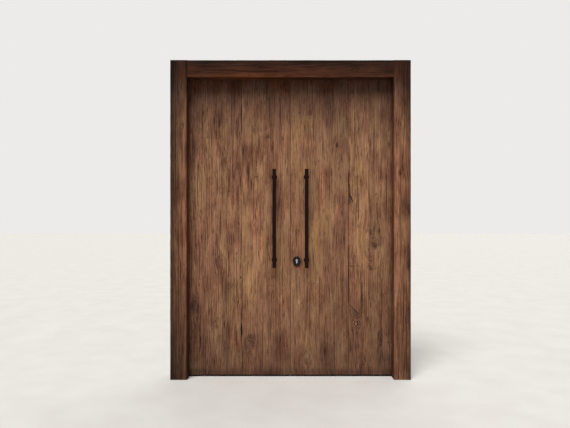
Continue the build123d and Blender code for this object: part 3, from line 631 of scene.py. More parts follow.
def addMarks(timber, checkCount, lengths, pinCount=0):
    # fine drying checks and pin knots at random places
    low, high = timber["across"]
    foot, head = timber["span"]
    checks, pins = [], []
    rng = np.random.default_rng(timber["seed"] + check["seed"])
    for _ in range(checkCount):
        line = rng.uniform(low + check["fromEdge"], high - check["fromEdge"])
        length = rng.uniform(*lengths)
        start = rng.uniform(foot - length / 2, head - length / 2)
        checks.append((line, start, start + length, rng.uniform(*check["halfWidth"]), rng.uniform(*check["depth"])))
    rng = np.random.default_rng(timber["seed"] + pin["seed"])
    for _ in range(pinCount):
        size = rng.uniform(*pin["size"])
        across = rng.uniform(low + pin["fromEdge"], high - pin["fromEdge"])
        along = rng.uniform(foot + pin["fromEnd"], head - pin["fromEnd"])
        pins.append((across, along, size, size * rng.uniform(*pin["longer"]), *pin["look"]))
    timber["cracks"] = timber["cracks"] + checks
    timber["knots"] = timber["knots"] + pins


# The boards of both leaves. By height, how light a board is: darker towards the foot, and painted shade under the
# head.
leafToneAndShade = [(0.0, 0.30), (0.04, 0.34), (0.08, 0.53), (0.2, 0.58), (0.5, 0.71), (0.8, 0.84), (1.15, 0.89),
             (1.55, 0.89), (1.9, 0.83), (2.17, 0.56), (2.33, 0.37), (2.44, 0.24)]
# the boards are redder under the head, the hue of the painted shade there, and a little redder towards the foot
leafWarmths = [(0.0, -0.05), (0.35, -0.045), (0.75, -0.01), (2.05, 0.0), (2.17, -0.04), (2.27, -0.09),
               (2.32, -0.17), (2.40, -0.28), (2.44, -0.34)]
# What the photograph shows on each board: places are across and height, and sizes are halves,
# all lengths in millimetres, with shares as plain numbers.
# knots: place, size, push on the grain, darkness, strength of rings
# cracks: across, from, to, half width, depth
# chips: from, to, width at the top and at the foot, depth, side
# splits: place of both ends, half width, strength
# hues: place, size, golden above 0 and red or mauve below
# patches: place, size, lighter or darker; a few are painted shade, as marked where they stand
# seams: dirt in the joints on both sides
# fine: where the mesh has closer rows, from and to
# The arcs are growth lines under the knot on both sides of the right leaf's outer joint.
knotArcs = [(634, 996, 651, 978, 5.5, 0.42), (651, 978, 668, 979, 5.5, 0.48), (668, 979, 685, 998, 5.5, 0.38),
            (628, 972, 649, 949, 5.5, 0.4), (649, 949, 670, 951, 5.5, 0.45), (670, 951, 690, 974, 5.5, 0.35),
            (636, 890, 650, 880, 5.5, 0.35), (650, 880, 666, 888, 5.5, 0.35)]
boards = {
    "left_board_1": {
        "seed": 11, "tone": 0.93, "vein": 1.1, "seams": (0.3, 0.1), "fine": [(480, 680)],
        "knots": [(-790, 590, 28, 60, 0.5, 0.5, 0.35), (-755, 2020, 14, 20, 0.5, 0.3, 0.5)],
        "cracks": [(-730, 1050, 1620, 0.9, 2), (-745, 800, 1100, 1.4, 3)],
        "splits": [
            (-760, 2160, -715, 2142, 5, 0.35), (-690, 2125, -699, 2095, 6, 0.5), (-699, 2095, -727, 2068, 5, 0.4)],
        "hues": [(-735, 1030, 30, 200, -0.05), (-715, 560, 18, 120, -0.07)],
        "patches": [
            # (-827, 1200, 6, 3000, -0.42) is painted shade along the hinge edge, beside the post
            (-740, 45, 100, 30, -0.4), (-745, 1130, 40, 50, 0.36), (-827, 1200, 6, 3000, -0.42),
            (-790, 590, 35, 85, -0.45), (-745, 1200, 14, 700, 0.12), (-800, 1400, 16, 600, -0.12),
            (-760, 2150, 40, 120, -0.1)],
    },
    "left_board_2": {
        "seed": 12, "tone": 0.97, "vein": 1.15, "seams": (0.1, 0.4), "fine": [(850, 990)],
        "knots": [
            (-577, 925, 30, 50, 0.6, 0.1, 0), (-676, 1962, 11, 10, 0.5, 0.7, 0.3), (-607, 409, 8, 9, 0.4, 0.9, 0.2)],
        "cracks": [
            (-609, 920, 1250, 1.8, 3), (-560, 1320, 1930, 1.2, 2), (-645, 300, 750, 0.9, 2),
            (-600, 1450, 1750, 1.4, 3), (-560, 620, 860, 1.4, 3)],
        "splits": [
            (-604, 968, -611, 925, 5, 0.55), (-611, 925, -598, 880, 5, 0.45), (-598, 975, -568, 985, 5, 0.35),
            (-560, 975, -550, 930, 4, 0.3), (-632, 1065, -634, 970, 5.5, 0.75)],
        "hues": [
            (-603, 660, 26, 170, -0.09), (-542, 300, 20, 400, -0.12), (-525, 740, 22, 80, -0.11),
            (-577, 925, 25, 45, -0.1)],
        "patches": [
            (-580, 1845, 30, 130, 0.28), (-577, 935, 24, 40, -0.22), (-542, 300, 18, 400, -0.14),
            (-528, 680, 14, 140, -0.32), (-610, 700, 18, 220, 0.14), (-655, 1500, 16, 500, 0.12),
            (-600, 200, 60, 160, -0.12), (-560, 1850, 20, 220, -0.2)],
    },
    "left_board_3": {
        "seed": 13, "tone": 0.98, "vein": 1.15, "seams": (0.3, 0.3), "fine": [(300, 500), (790, 835)],
        "knots": [(-407.5, 812, 6, 7, 0.3, 1, 0.2), (-425, 1200, 8, 20, 0.5, 0.5, 0.4)],
        "cracks": [
            (-502, 820, 1040, 2.4, 4), (-470, 1500, 2050, 1.4, 2), (-440, 550, 1050, 1.2, 2),
            (-480, 1950, 2280, 1.6, 3), (-430, 1300, 1620, 1.2, 3)],
        "chips": [(1999, 2240, 4, 4, 7.5, 1), (330, 440, 3, 8, 10, 1), (440, 800, 2, 2, 6, 1)],
        "splits": [
            (-403, 425, -403, 345, 8, 1), (-403.5, 570, -403, 320, 4, 0.7), (-407.5, 818, -407.5, 806, 7.5, 1),
            (-400.5, 2232, -400, 2010, 4, 0.8), (-507, 1030, -506, 840, 4, 0.6)],
        "hues": [(-490, 1970, 30, 80, -0.1)],
        "patches": [
            (-446, 1539, 45, 100, 0.3), (-459, 316, 35, 70, 0.32), (-424, 600, 30, 110, 0.42),
            (-505, 1750, 14, 350, -0.16), (-450, 1000, 14, 400, 0.08), (-475, 350, 20, 250, 0.1),
            (-490, 650, 20, 120, -0.16), (-488, 1970, 26, 80, -0.18), (-455, 2100, 12, 160, 0.12)],
    },
    "left_board_4": {
        "seed": 14, "tone": 1.05, "vein": 1.05, "seams": (0.2, 0.1), "fine": [(180, 360)],
        "knots": [
            (-325, 305, 26, 32, 0.6, 0.2, 0.3), (-348, 1700, 9, 40, 0.5, 0.6, 0.4),
            (-300, 2020, 12, 18, 0.5, 0.5, 0.4), (-342, 215, 22, 30, 0.4, 0.1, 0.5)],
        "cracks": [
            (-395, 450, 900, 1.2, 3), (-300, 1200, 1750, 0.8, 2), (-270, 420, 850, 0.9, 2),
            (-255, 950, 1200, 1.2, 3)],
        "chips": [(1999, 2240, 2, 3, 6, -1), (335, 430, 2, 4, 9, -1)],
        "splits": [
            (-300, 1640, -245, 1635, 3.5, 0.35), (-350, 345, -300, 278, 5.5, 0.55), (-352, 315, -314, 262, 5, 0.4),
            (-335, 352, -294, 304, 4.5, 0.35)],
        "hues": [(-255, 460, 24, 140, -0.08), (-345, 220, 30, 60, -0.1)],
        "patches": [
            (-282, 1260, 35, 100, 0.9), (-248, 940, 30, 160, 0.22), (-248, 1060, 30, 80, 0.26),
            (-375, 1655, 35, 90, 0.32), (-232, 1450, 8, 620, 0.3), (-348, 1690, 12, 60, -0.4),
            (-330, 290, 32, 60, -0.22), (-290, 180, 22, 70, 0.16), (-350, 1470, 12, 50, -0.2),
            (-290, 1050, 30, 250, 0.1)],
    },
    "left_board_5": {
        "seed": 15, "tone": 1, "vein": 0.8, "seams": (0.1, 0.1),
        "knots": [
            (-184, 1966, 11, 15, 0.5, 0.7, 0.5), (-60, 500, 10, 16, 0.5, 0.5, 0.4),
            (-165, 2060, 5, 18, 0.4, 0.6, 0.3)],
        "cracks": [(-160, 1800, 2200, 0.8, 2), (-60, 600, 1020, 0.8, 1.5)],
        "splits": [(-215, 795, -120, 790, 3.5, 0.3), (-190, 745, -110, 742, 3.5, 0.25)],
        "hues": [(-115, 225, 45, 110, -0.13), (-12, 1300, 12, 1300, -0.08), (-215, 520, 16, 140, -0.07)],
        "patches": [
            (-60, 2011, 50, 50, 0.26), (-73, 660, 70, 90, 0.26), (-171, 2052, 25, 70, 0.26),
            (-150, 1859, 25, 60, 0.34), (-30, 1920, 30, 80, 0.3), (-48, 2340, 50, 50, 0.34), (-35, 270, 35, 100, 0.3),
            (-30, 610, 40, 50, 0.24), (-30, 1408, 40, 140, 0.22), (-115, 225, 40, 110, -0.22),
            # (-158, 1300, 15, 500, -0.2) is a painted shadow beside the left pull
            (-158, 1300, 15, 500, -0.2), (-60, 1300, 18, 500, 0.08), (-184, 1970, 18, 30, -0.25),
            (-205, 1100, 8, 400, 0.12), (-150, 600, 20, 50, -0.1)],
    },
    "right_board_4": {
        "seed": 21, "tone": 1.03, "vein": 0.8, "seams": (0.1, 0.1), "fine": [(40, 240)],
        "knots": [(161, 2163, 12, 18, 0.6, 0.7, 0.4), (128, 125, 42, 60, 0.5, 0.05, 0.08)],
        "cracks": [(84, 1950, 2250, 0.8, 2), (160, 300, 800, 1.2, 3)],
        "chips": [(488, 833, 3, 3, 6, 1)],
        "splits": [(85, 1800, 180, 1797, 3.5, 0.25), (203.5, 500, 215, 130, 4, 0.45), (83, 602, 98, 600, 5, 0.6)],
        "hues": [(150, 120, 35, 60, -0.1), (218, 570, 14, 110, -0.08), (120, 520, 30, 100, -0.05)],
        "patches": [
            (104, 1933, 40, 90, 0.48), (20, 1075, 30, 40, 0.42), (215, 835, 30, 40, -0.24), (198, 677, 40, 70, 0.28),
            # (158, 1300, 17, 500, -0.16) is a painted shadow beside the right pull
            (45, 270, 55, 170, 0.28), (185, 53, 60, 20, -0.22), (71, 611, 10, 14, 0.45), (158, 1300, 17, 500, -0.16),
            (4, 1300, 6, 1300, 0.15), (45, 1650, 18, 450, 0.12), (161, 2163, 18, 30, -0.3),
            (180, 1100, 20, 400, 0.08), (128, 130, 50, 80, -0.1)],
    },
    "right_board_3": {
        "seed": 22, "tone": 0.96, "warmth": -0.008, "vein": 0.8, "seams": (0.1, 0.5),
        "fine": [(1820, 1960)],
        "knots": [
            (380, 1893, 12, 30, 0.6, 0.8, 0.5), (284, 200, 8, 16, 0.4, 0.6, 0.4), (405, 1760, 24, 50, 0.7, 0, 0),
            (300, 1300, 10, 20, 0.5, 0.4, 0.5)],
        "cracks": [(320, 1050, 1700, 0.8, 2), (430, 400, 950, 1.2, 3), (345, 1980, 2200, 0.9, 2)],
        "chips": [(520, 1700, 3, 3, 4, 1)],
        "splits": [(474.5, 1660, 475.5, 1560, 4, 0.9), (476, 1080, 475.5, 600, 4.5, 0.8)],
        "hues": [(320, 240, 40, 200, -0.1), (330, 950, 50, 180, -0.06), (300, 2030, 30, 80, -0.1)],
        "patches": [
            (258, 1545, 30, 120, 0.5), (395, 1360, 30, 150, 0.28), (432, 1600, 40, 100, -0.24),
            (420, 1843, 45, 250, -0.24), (379, 279, 45, 100, -0.26), (335, 2200, 35, 150, -0.28),
            (312, 2030, 22, 70, -0.22), (258, 1450, 10, 500, 0.2), (350, 176, 18, 60, -0.28),
            (284, 200, 14, 50, -0.26), (380, 580, 60, 160, -0.24), (300, 620, 20, 120, -0.16),
            (340, 950, 50, 160, -0.22), (400, 1620, 30, 200, 0.06), (345, 1200, 50, 120, -0.06)],
    },
    "right_board_2": {
        "seed": 23, "tone": 1.08, "warmth": 0.006, "vein": 0.85, "seams": (0.7, 0.2),
        "fine": [(400, 610), (885, 1160), (1280, 1600)],
        "knots": [
            (537, 437, 30, 42, 0.6, 0.15, 0.8), (560, 1345, 30, 60, 0.6, 0, 0), (690, 1095, 50, 80, 0.75, 0, 0)],
        "cracks": [(580, 496, 907, 3, 6), (530, 1750, 2200, 1.2, 3)],
        "chips": [(1405, 1700, 3, 24, 6, -1), (520, 1405, 3, 4, 4, -1)],
        "splits": [
            (479, 1700, 480, 1530, 4.5, 1), (479, 1080, 479.5, 600, 5.5, 0.85), (588, 770, 589, 515, 6, 0.85),
            (481, 1505, 512, 1435, 10, 1), (481, 1460, 500, 1425, 10, 0.55), (480, 908, 522, 902, 4.5, 1),
            (482, 590, 592, 482, 6, 0.8), (515, 904, 580, 906, 3, 0.4), (500, 1360, 530, 1330, 4, 0.5),
            (618, 1200, 636, 1176, 7, 0.5), (632, 1062, 650, 1032, 8, 0.55), *knotArcs],
        "hues": [(580, 1350, 50, 300, 0.04), (540, 650, 40, 160, -0.05)],
        "patches": [
            (613, 1091, 35, 70, -0.28), (660, 1080, 30, 70, -0.22), (533, 430, 30, 80, 0.34), (596, 693, 35, 80, 0.3),
            (568, 151, 32, 70, 0.3), (680, 1100, 60, 85, -0.3), (590, 1420, 40, 170, 0.1), (630, 1550, 12, 500, 0.18),
            (560, 1250, 30, 220, 0.16), (530, 520, 50, 35, -0.35), (610, 1100, 12, 120, 0.16),
            (520, 720, 30, 120, 0.12), (505, 1420, 18, 40, -0.3)],
    },
    "right_board_1": {
        "seed": 24, "tone": 0.92, "warmth": -0.004, "vein": 0.85, "seams": (0.2, 0.4),
        "fine": [(850, 1220), (250, 300)],
        "knots": [
            (810, 1900, 10, 16, 0.5, 0.5, 0.4), (657, 1180, 14, 22, 0.5, 0.6, 0.5), (690, 1095, 50, 80, 0.75, 0, 0),
            (692, 1070, 16, 18, 0.4, 0.8, 0.3), (652, 888, 16, 13, 0.4, 0.25, 0.8)],
        "cracks": [(750, 300, 800, 1.4, 3), (790, 1200, 1800, 1.4, 3)],
        "splits": [
            (731, 375, 722, 325, 10, 0.45), (722, 325, 752, 275, 11, 0.5), (752, 275, 722, 235, 10, 0.5),
            (722, 235, 715, 180, 10, 0.4), (787, 282, 832, 274, 4, 0.9), (652, 880, 690, 874, 4, 0.6),
            (660, 1141, 694, 1134, 6, 0.7), (672, 1098, 706, 1060, 10, 0.7), (700, 1085, 740, 1070, 8, 0.35),
            (632, 1062, 650, 1032, 8, 0.55), (740, 1150, 760, 1120, 5, 0.4), *knotArcs],
        "hues": [(700, 1100, 60, 90, -0.06), (740, 400, 40, 300, -0.05)],
        "patches": [
            # (826, 1200, 7, 3000, -0.42) is painted shade along the hinge edge, beside the post
            (690, 1100, 65, 90, -0.32), (659, 963, 20, 6, 0.3), (826, 1200, 7, 3000, -0.42),
            (735, 260, 24, 130, -0.45), (700, 1700, 20, 400, 0.08), (810, 1000, 20, 600, -0.12),
            (690, 1200, 30, 60, -0.2)],
    },
}

leafCounts = {"left": 5, "right": 4}
leafChecks = {"left": 18, "right": 13}
for side, count in leafCounts.items():
    for number in range(1, count + 1):
        node = f"{side}_board_{number}"
        lowCorner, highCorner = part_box(node)
        low, high = lowCorner.x, highCorner.x
        # a board's tongue runs under the next board, so its face ends where that one starts
        if number < count:
            nextLow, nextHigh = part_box(f"{side}_board_{number + 1}")
            low, high = (low, nextLow.x) if side == "left" else (nextHigh.x, high)
        board = newTimber(node, f"{side}_leaf", across=(low, high),
                          heightTone=lambda z: fromTable(leafToneAndShade, z),
                          faceWarmth=lambda x, y, z: fromTable(leafWarmths, z), **inMetres(boards[node]))
        addMarks(board, leafChecks[side], (0.06, 0.42), 4)
        makeTimber(board)
print("boards made")


# The frame: two posts and the head between them.
frameSettings = {"oak": "frameOak", "slot": "frame_oak", "bare": allBare, "wear": 1.5, "radius": 0.006,
                 "backRadius": 0.003, "column": 0.0035, "sideColumn": 0.006, "backColumn": 0.012, "row": 0.013}
# where the posts' reveals and arrises are, in metres
post = {"opening": 0.830, "arris": 0.831, "width": 0.138, "front": -0.100, "redWidth": 0.007, "darkWidth": 0.009}
# painted shade in the reveals: how much they are darkened, and how red that shade is painted
reveal = {"front": -0.1165, "side": 0.846, "fade": 0.004, "red": 0.34, "dark": 0.45}
# how red the posts are painted by height: a little low down, most on the ends above the head's lower edge, the hue of
# the painted shade under the head
postReds = [(0.2, 0.06), (0.7, 0.04), (0.9, 0.0), (2.28, 0.0), (2.38, 0.20), (2.47, 0.42), (2.57, 0.46)]
# how light the posts are by height and across, from the opening to the outer side: painted shade, darkest at the top
# and darker at the foot and on the outer side, with a pale line beside the arris (strength, place, half width) and a
# painted shade line on its edge
postHeights = [0.0, 0.15, 0.52, 0.92, 1.32, 1.72, 2.04, 2.24, 2.38, 2.49, 2.57]
leftShades = [(0, 1.18), (0.15, 1.05), (0.4, 0.84), (0.65, 0.60), (0.85, 0.36), (1, 0.24)]
postLooks = {
    "left": {"across": lambda share: fromTable(leftShades, share), "paleLine": (0.20, 0.852, 0.013),
             "darkEdge": 0.58, "arrisShadeRed": 0.9, "radius": 0.010,
             "tones": [0.27, 0.31, 0.54, 0.87, 0.93, 0.70, 0.60, 0.46, 0.28, 0.16, 0.12]},
    "right": {"across": lambda share: 1.12 - 0.66 * np.clip(share, 0, 1) ** 1.7, "paleLine": (0.08, 0.834, 0.007),
              "darkEdge": 0.30, "arrisShadeRed": 0.5, "radius": 0.006,
              "tones": [0.58, 0.64, 0.94, 0.86, 0.98, 1.12, 0.86, 0.54, 0.28, 0.17, 0.12]},
}
# marks on the posts, as on the boards
postMarks = {
    "left": {
        "seed": 41,
        "knots": [
            (-907, 1542, 8, 9, 0.5, 1, 0.3), (-907, 121, 8, 9, 0.5, 1, 0.3), (-870, 2050, 12, 20, 0.5, 0.5, 0.4)],
        "cracks": [(-900, 350, 1300, 1.4, 4), (-925, 1500, 2300, 1.2, 3), (-865, 900, 1250, 1, 3)],
        "patches": [(-950, 1200, 20, 500, -0.12)],
    },
    "right": {
        "seed": 42,
        "knots": [
            (955, 1365, 16, 26, 0.5, 0.5, 0.4), (950, 925, 12, 30, 0.5, 0.5, 0.4), (945, 500, 14, 30, 0.5, 0.5, 0.4),
            (880, 1660, 10, 15, 0.5, 0.5, 0.4)],
        "cracks": [(885, 900, 1900, 1.3, 4), (930, 200, 850, 1.2, 3), (915, 1900, 2400, 1, 3)],
        "patches": [
            (955, 1365, 20, 60, -0.35), (955, 925, 18, 70, -0.3), (955, 500, 20, 70, -0.3),
            (860, 1300, 20, 500, 0.08)],
    },
}
# the head is painted dark and red as painted shade, most so at its top, with a painted highlight along its lower
# arris
headFace = {"front": -0.112, "red": -0.34, "arris": 2.438, "highlightWidth": 0.006, "highlight": 0.16}
headReds = [(2.434, -0.30), (2.445, -0.36), (2.465, -0.42), (2.57, -0.46)]
headTones = [(2.432, 0.25), (2.45, 0.24), (2.50, 0.20), (2.54, 0.12), (2.57, 0.06)]
# how light the head is along its length
headRun = [(-0.71, 0.95), (-0.51, 1.0), (-0.31, 1.3), (-0.105, 1.25), (0.096, 1.0), (0.297, 0.85), (0.50, 0.70),
           (0.70, 0.74)]
headMarks = {
    "knots": [(2520, -300, 10, 20, 0.5, 0.5, 0.4), (2490, 520, 12, 26, 0.5, 0.5, 0.4)],
    "cracks": [(2490, -700, 100, 1.2, 3), (2530, 150, 750, 1.2, 3)],
}


def revealShare(x, y):
    # 1 on the faces of the posts that look into the opening
    behind = np.clip((y - reveal["front"]) / reveal["fade"], 0, 1)
    return behind * np.clip((reveal["side"] - np.abs(x)) / reveal["fade"], 0, 1)


def postWarmth(look):
    # red painted into the reveals, along their arrises and on the posts' ends, the hue of the painted shade there
    def warmth(x, y, z):
        arris = look["arrisShadeRed"] * bell(np.abs(x) - post["arris"], post["redWidth"])
        return -np.maximum(reveal["red"] * np.maximum(revealShare(x, y), arris), fromTable(postReds, z))
    return warmth


def postTone(look):
    # painted shade across and up the post, darker again in the reveal and along the arris edge
    def tone(x, y, z):
        away, front = np.abs(x), y < post["front"]
        shade = look["across"]((away - post["opening"]) / post["width"])
        strength, place, width = look["paleLine"]
        highlight = strength * bell(away - place, width) * front
        edge = look["darkEdge"] * bell(away - post["arris"], post["darkWidth"]) * front
        height = np.interp(z, postHeights, look["tones"])
        return (shade + highlight) * height * (1 - reveal["dark"] * revealShare(x, y)) * (1 - edge)
    return tone


# the hue of the painted shade: on the head's underside and back, and by height on its front
def headWarmth(x, y, z):
    return np.where(y > headFace["front"], headFace["red"], fromTable(headReds, z))


# painted shade on the head's front, with a painted highlight on its lower arris
def headTone(x, y, z):
    arris = headFace["highlight"] * bell(z - headFace["arris"], headFace["highlightWidth"]) * (y < post["front"])
    return fromTable(headRun, x) * (fromTable(headTones, z) + arris)


for side, marks in postMarks.items():
    look = postLooks[side]
    settings = {**frameSettings, "radius": look["radius"], **inMetres(marks)}
    timber = newTimber(f"frame_post_{side}", "frame", faceTone=postTone(look), faceWarmth=postWarmth(look),
                       **settings)
    addMarks(timber, 10, (0.10, 0.70))
    makeTimber(timber)
head = newTimber("frame_head", "frame", upright=False, faceTone=headTone, faceWarmth=headWarmth, seed=43,
                 **frameSettings, **inMetres(headMarks))
addMarks(head, 8, (0.10, 0.60))
makeTimber(head)
print("frame made")


# The inner timber of the leaves: stiles and rails, each a little different in tone.
innerSettings = {"oak": "planedOak", "slot": "inner_oak", "bare": allBare, "wear": 0.35, "radius": 0.0008,
                 "backRadius": 0.0035, "column": 0.010, "sideColumn": 0.011, "backColumn": 0.006, "row": 0.03}
innerSeed = 60
for side in leafCounts:
    for part in ("hinge_stile", "meeting_stile", "top_rail", "lock_rail", "bottom_rail"):
        innerSeed += 1
        stile = part.endswith("stile")
        tone = 0.96 + 0.02 * (innerSeed % 4) if stile else 0.94 + 0.03 * (innerSeed % 3)
        makeTimber(newTimber(f"{side}_{part}", f"{side}_leaf", upright=stile, seed=innerSeed, tone=tone,
                             **innerSettings))
print("inner timber made")


def metalMaterial(name, colours, gloss, spread, metallic, cellMm, bumpDepth, stretch=(1, 1, 1), specular=None):
    # a metal or coating whose tone and gloss vary over a pattern of the given size
    material, tree = startMaterial(name)
    place = addNode(tree, "TexCoord").outputs["Object"]
    mottle = noiseField(tree, place, [cellMm / share for share in stretch], 5.0, 0.6)
    span = {"From Min": 0.3, "From Max": 0.7}
    tint = addNode(tree, "MapRange", span, {"Value": mottle})
    light, dark = (linear(colour) for colour in colours)
    shade = addNode(tree, "Mix", {6: dark, 7: light}, {0: tint}, data_type="RGBA").outputs[2]
    rough = addNode(tree, "MapRange", {**span, "To Min": gloss - spread, "To Max": gloss + spread}, {"Value": mottle})
    bump = addNode(tree, "Bump", {"Strength": 1.0, "Distance": bumpDepth}, {"Height": mottle})
    values = {"Metallic": metallic, **({"Specular IOR Level": specular} if specular else {})}
    finishMaterial(tree, values, {"Base Color": shade, "Roughness": rough, "Normal": bump})
    return material


def rampMaterial(name, texture, cells, values, output, stops, roughness):
    # one texture in two tones
    material, tree = startMaterial(name)
    place = addNode(tree, "TexCoord").outputs["Object"]
    mapped = addNode(tree, "Mapping", {"Scale": [mm / cell for cell in cells]}, {"Vector": place})
    pattern = addNode(tree, texture, values, {"Vector": mapped}).outputs[output]
    tones = addNode(tree, "ValToRGB", links={0: pattern}, stops=stops)
    finishMaterial(tree, {"Roughness": roughness}, {"Base Color": tones})
    return material


# the finish of each slot: name, light and dark tone, roughness and its spread, metallic,
# size of the pattern in millimetres, height of its relief in metres
finishes = {
    # steel bar with a matt black powder coat: fine orange peel, a low even sheen
    "black_iron": metalMaterial("powderCoatedSteel", ("#1f0e0a", "#160907"), 0.50, 0.05, 0.0, 1.6, 0.00005,
                                specular=0.05),
    # cast escutcheon in stoved black enamel: near mirror gloss with faint waves
    "black_gloss": metalMaterial("stovedBlackEnamel", ("#140c0d", "#0c0808"), 0.16, 0.04, 0.0, 14, 0.00008,
                                 specular=0.2),
    # satin nickel on brass: soft grey-gold, brushed along its length
    "satin_nickel": metalMaterial("satinNickel", ("#c9c4c4", "#aaa5a6"), 0.30, 0.06, 1.0, 1.2, 0.00002,
                                  (1, 0.08, 1)),
    # zinc-plated steel: cool grey with a fine mottle
    "bright_steel": metalMaterial("zincPlatedSteel", ("#a9a9ab", "#8c8c90"), 0.36, 0.07, 1.0, 3.5, 0.00002),
    # hinge steel, chemically bronzed: dark brown with rubbed high spots
    "hinge_steel": metalMaterial("bronzedSteel", ("#5c5048", "#3d342e"), 0.42, 0.08, 1.0, 4.0, 0.00003),
    # screw heads of the hinges, rubbed bright by the driver
    "hinge_screws": metalMaterial("rubbedScrewSteel", ("#b9afa2", "#8a8074"), 0.34, 0.06, 1.0, 2.5, 0.00002),
    # EPDM seal: matt black rubber with a fine grain
    "seal_rubber": metalMaterial("epdmRubber", ("#1d1b1a", "#141312"), 0.80, 0.05, 0.0, 0.8, 0.00003),
    # oak pegs sawn flush: end grain with rays and pores
    "pale_oak": rampMaterial("endGrainOak", "TexVoronoi", (mm / 900, 25, mm / 900), {"Scale": 1.0}, "Distance",
                             [(0.1, "#4a3222"), (0.5, "#8a6646")], 0.7),
}
slots = {part["node"]: part["material_slot"] for part in frame["record"]["subparts"]}
for node, piece in nodes.items():
    if slots[node] in finishes:
        if not piece.material_slots:
            piece.data.materials.append(None)
        for materialSlot in piece.material_slots:
            materialSlot.material = finishes[slots[node]]
print("finishes set on the CAD nodes")


def addTrim(name, sections, material, body):
    # a strip through a row of sections with the same number of points
    mesh = tubeMesh(name, [point for section in sections for point in section], len(sections[0]))
    mesh.materials.append(material)
    addPiece(name, mesh, body, "seal_rubber")


# A soft fin in a kerf of the left leaf's edge closes the gap between the leaves.
fin = {"kerf": 0.003, "collar": 0.0008, "play": 0.0002, "fromFace": 0.007, "base": 0.0036, "tip": 0.0012,
       "ends": 0.004, "step": 0.06, "bow": 0.0004, "bowRate": 7}
leafLow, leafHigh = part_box("left_board_5")
gapStart, gapEnd = leafHigh.x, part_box("right_board_4")[0].x
finY = leafLow.y + fin["fromFace"]
finRows = np.linspace(leafLow.z + fin["ends"], leafHigh.z - fin["ends"],
                      round((leafHigh.z - leafLow.z) / fin["step"]))
halves = [(gapStart - fin["kerf"], fin["base"] / 2), (gapStart + fin["collar"], fin["base"] / 2),
          (gapEnd - fin["play"], fin["tip"] / 2)]
outline = [(x, -y) for x, y in halves] + halves[::-1]
finSections = [[(x, finY + y + fin["bow"] * math.sin(fin["bowRate"] * z), z) for x, y in outline] for z in finRows]
# brown thermoplastic fin, dusty from the street
dustyElastomer = metalMaterial("dustyElastomer", ("#66503f", "#4c3a2e"), 0.85, 0.05, 0.0, 6, 0.00003, specular=0.2)
addTrim("meeting_fin", finSections, dustyElastomer, "left_leaf")

# A dark brush in the underside of each leaf fills the gap to the floor; it stands in for the shade in that gap.
sweep = {"behindFace": 0.011, "thick": 0.005, "clear": 0.0025, "ends": 0.0008, "step": 0.012, "seed": 17,
         "uneven": 0.001, "lean": 0.0006}
# black nylon bristles, matt; the dark of the brush is painted shade for the gap
gapShadeBrush = metalMaterial("gapShadeBrush", ("#1c1714", "#120f0d"), 0.9, 0.05, 0.0, 1.2, 0.0002, (1, 1, 0.1), 0.1)
for side, count in leafCounts.items():
    corners = [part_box(f"{side}_board_{number}") for number in range(1, count + 1)]
    start = min(low.x for low, _ in corners) + sweep["ends"]
    end = max(high.x for _, high in corners) - sweep["ends"]
    top, front = corners[0][0].z, corners[0][0].y + sweep["behindFace"]
    back = front + sweep["thick"]
    rng = np.random.default_rng(sweep["seed"])
    sections = []
    for x in np.linspace(start, end, round((end - start) / sweep["step"])):
        foot = sweep["clear"] + rng.uniform(0, sweep["uneven"])
        lean = rng.uniform(-sweep["lean"], sweep["lean"])
        sections.append([(x, front, top), (x, front + lean, foot), (x, back + lean, foot), (x, back, top)])
    addTrim(f"{side}_sweep", sections, gapShadeBrush, f"{side}_leaf")


# The screws, with their head's radius, and the dome, the cone and the recess as shares of it.
screw = {"countersunk": 0.0046, "roundHead": 0.0040, "rise": 0.55, "foot": 0.55, "deep": 0.45,
         "recess": 0.30, "recessDepth": 0.35, "recessLength": 1.15, "seed": 7}


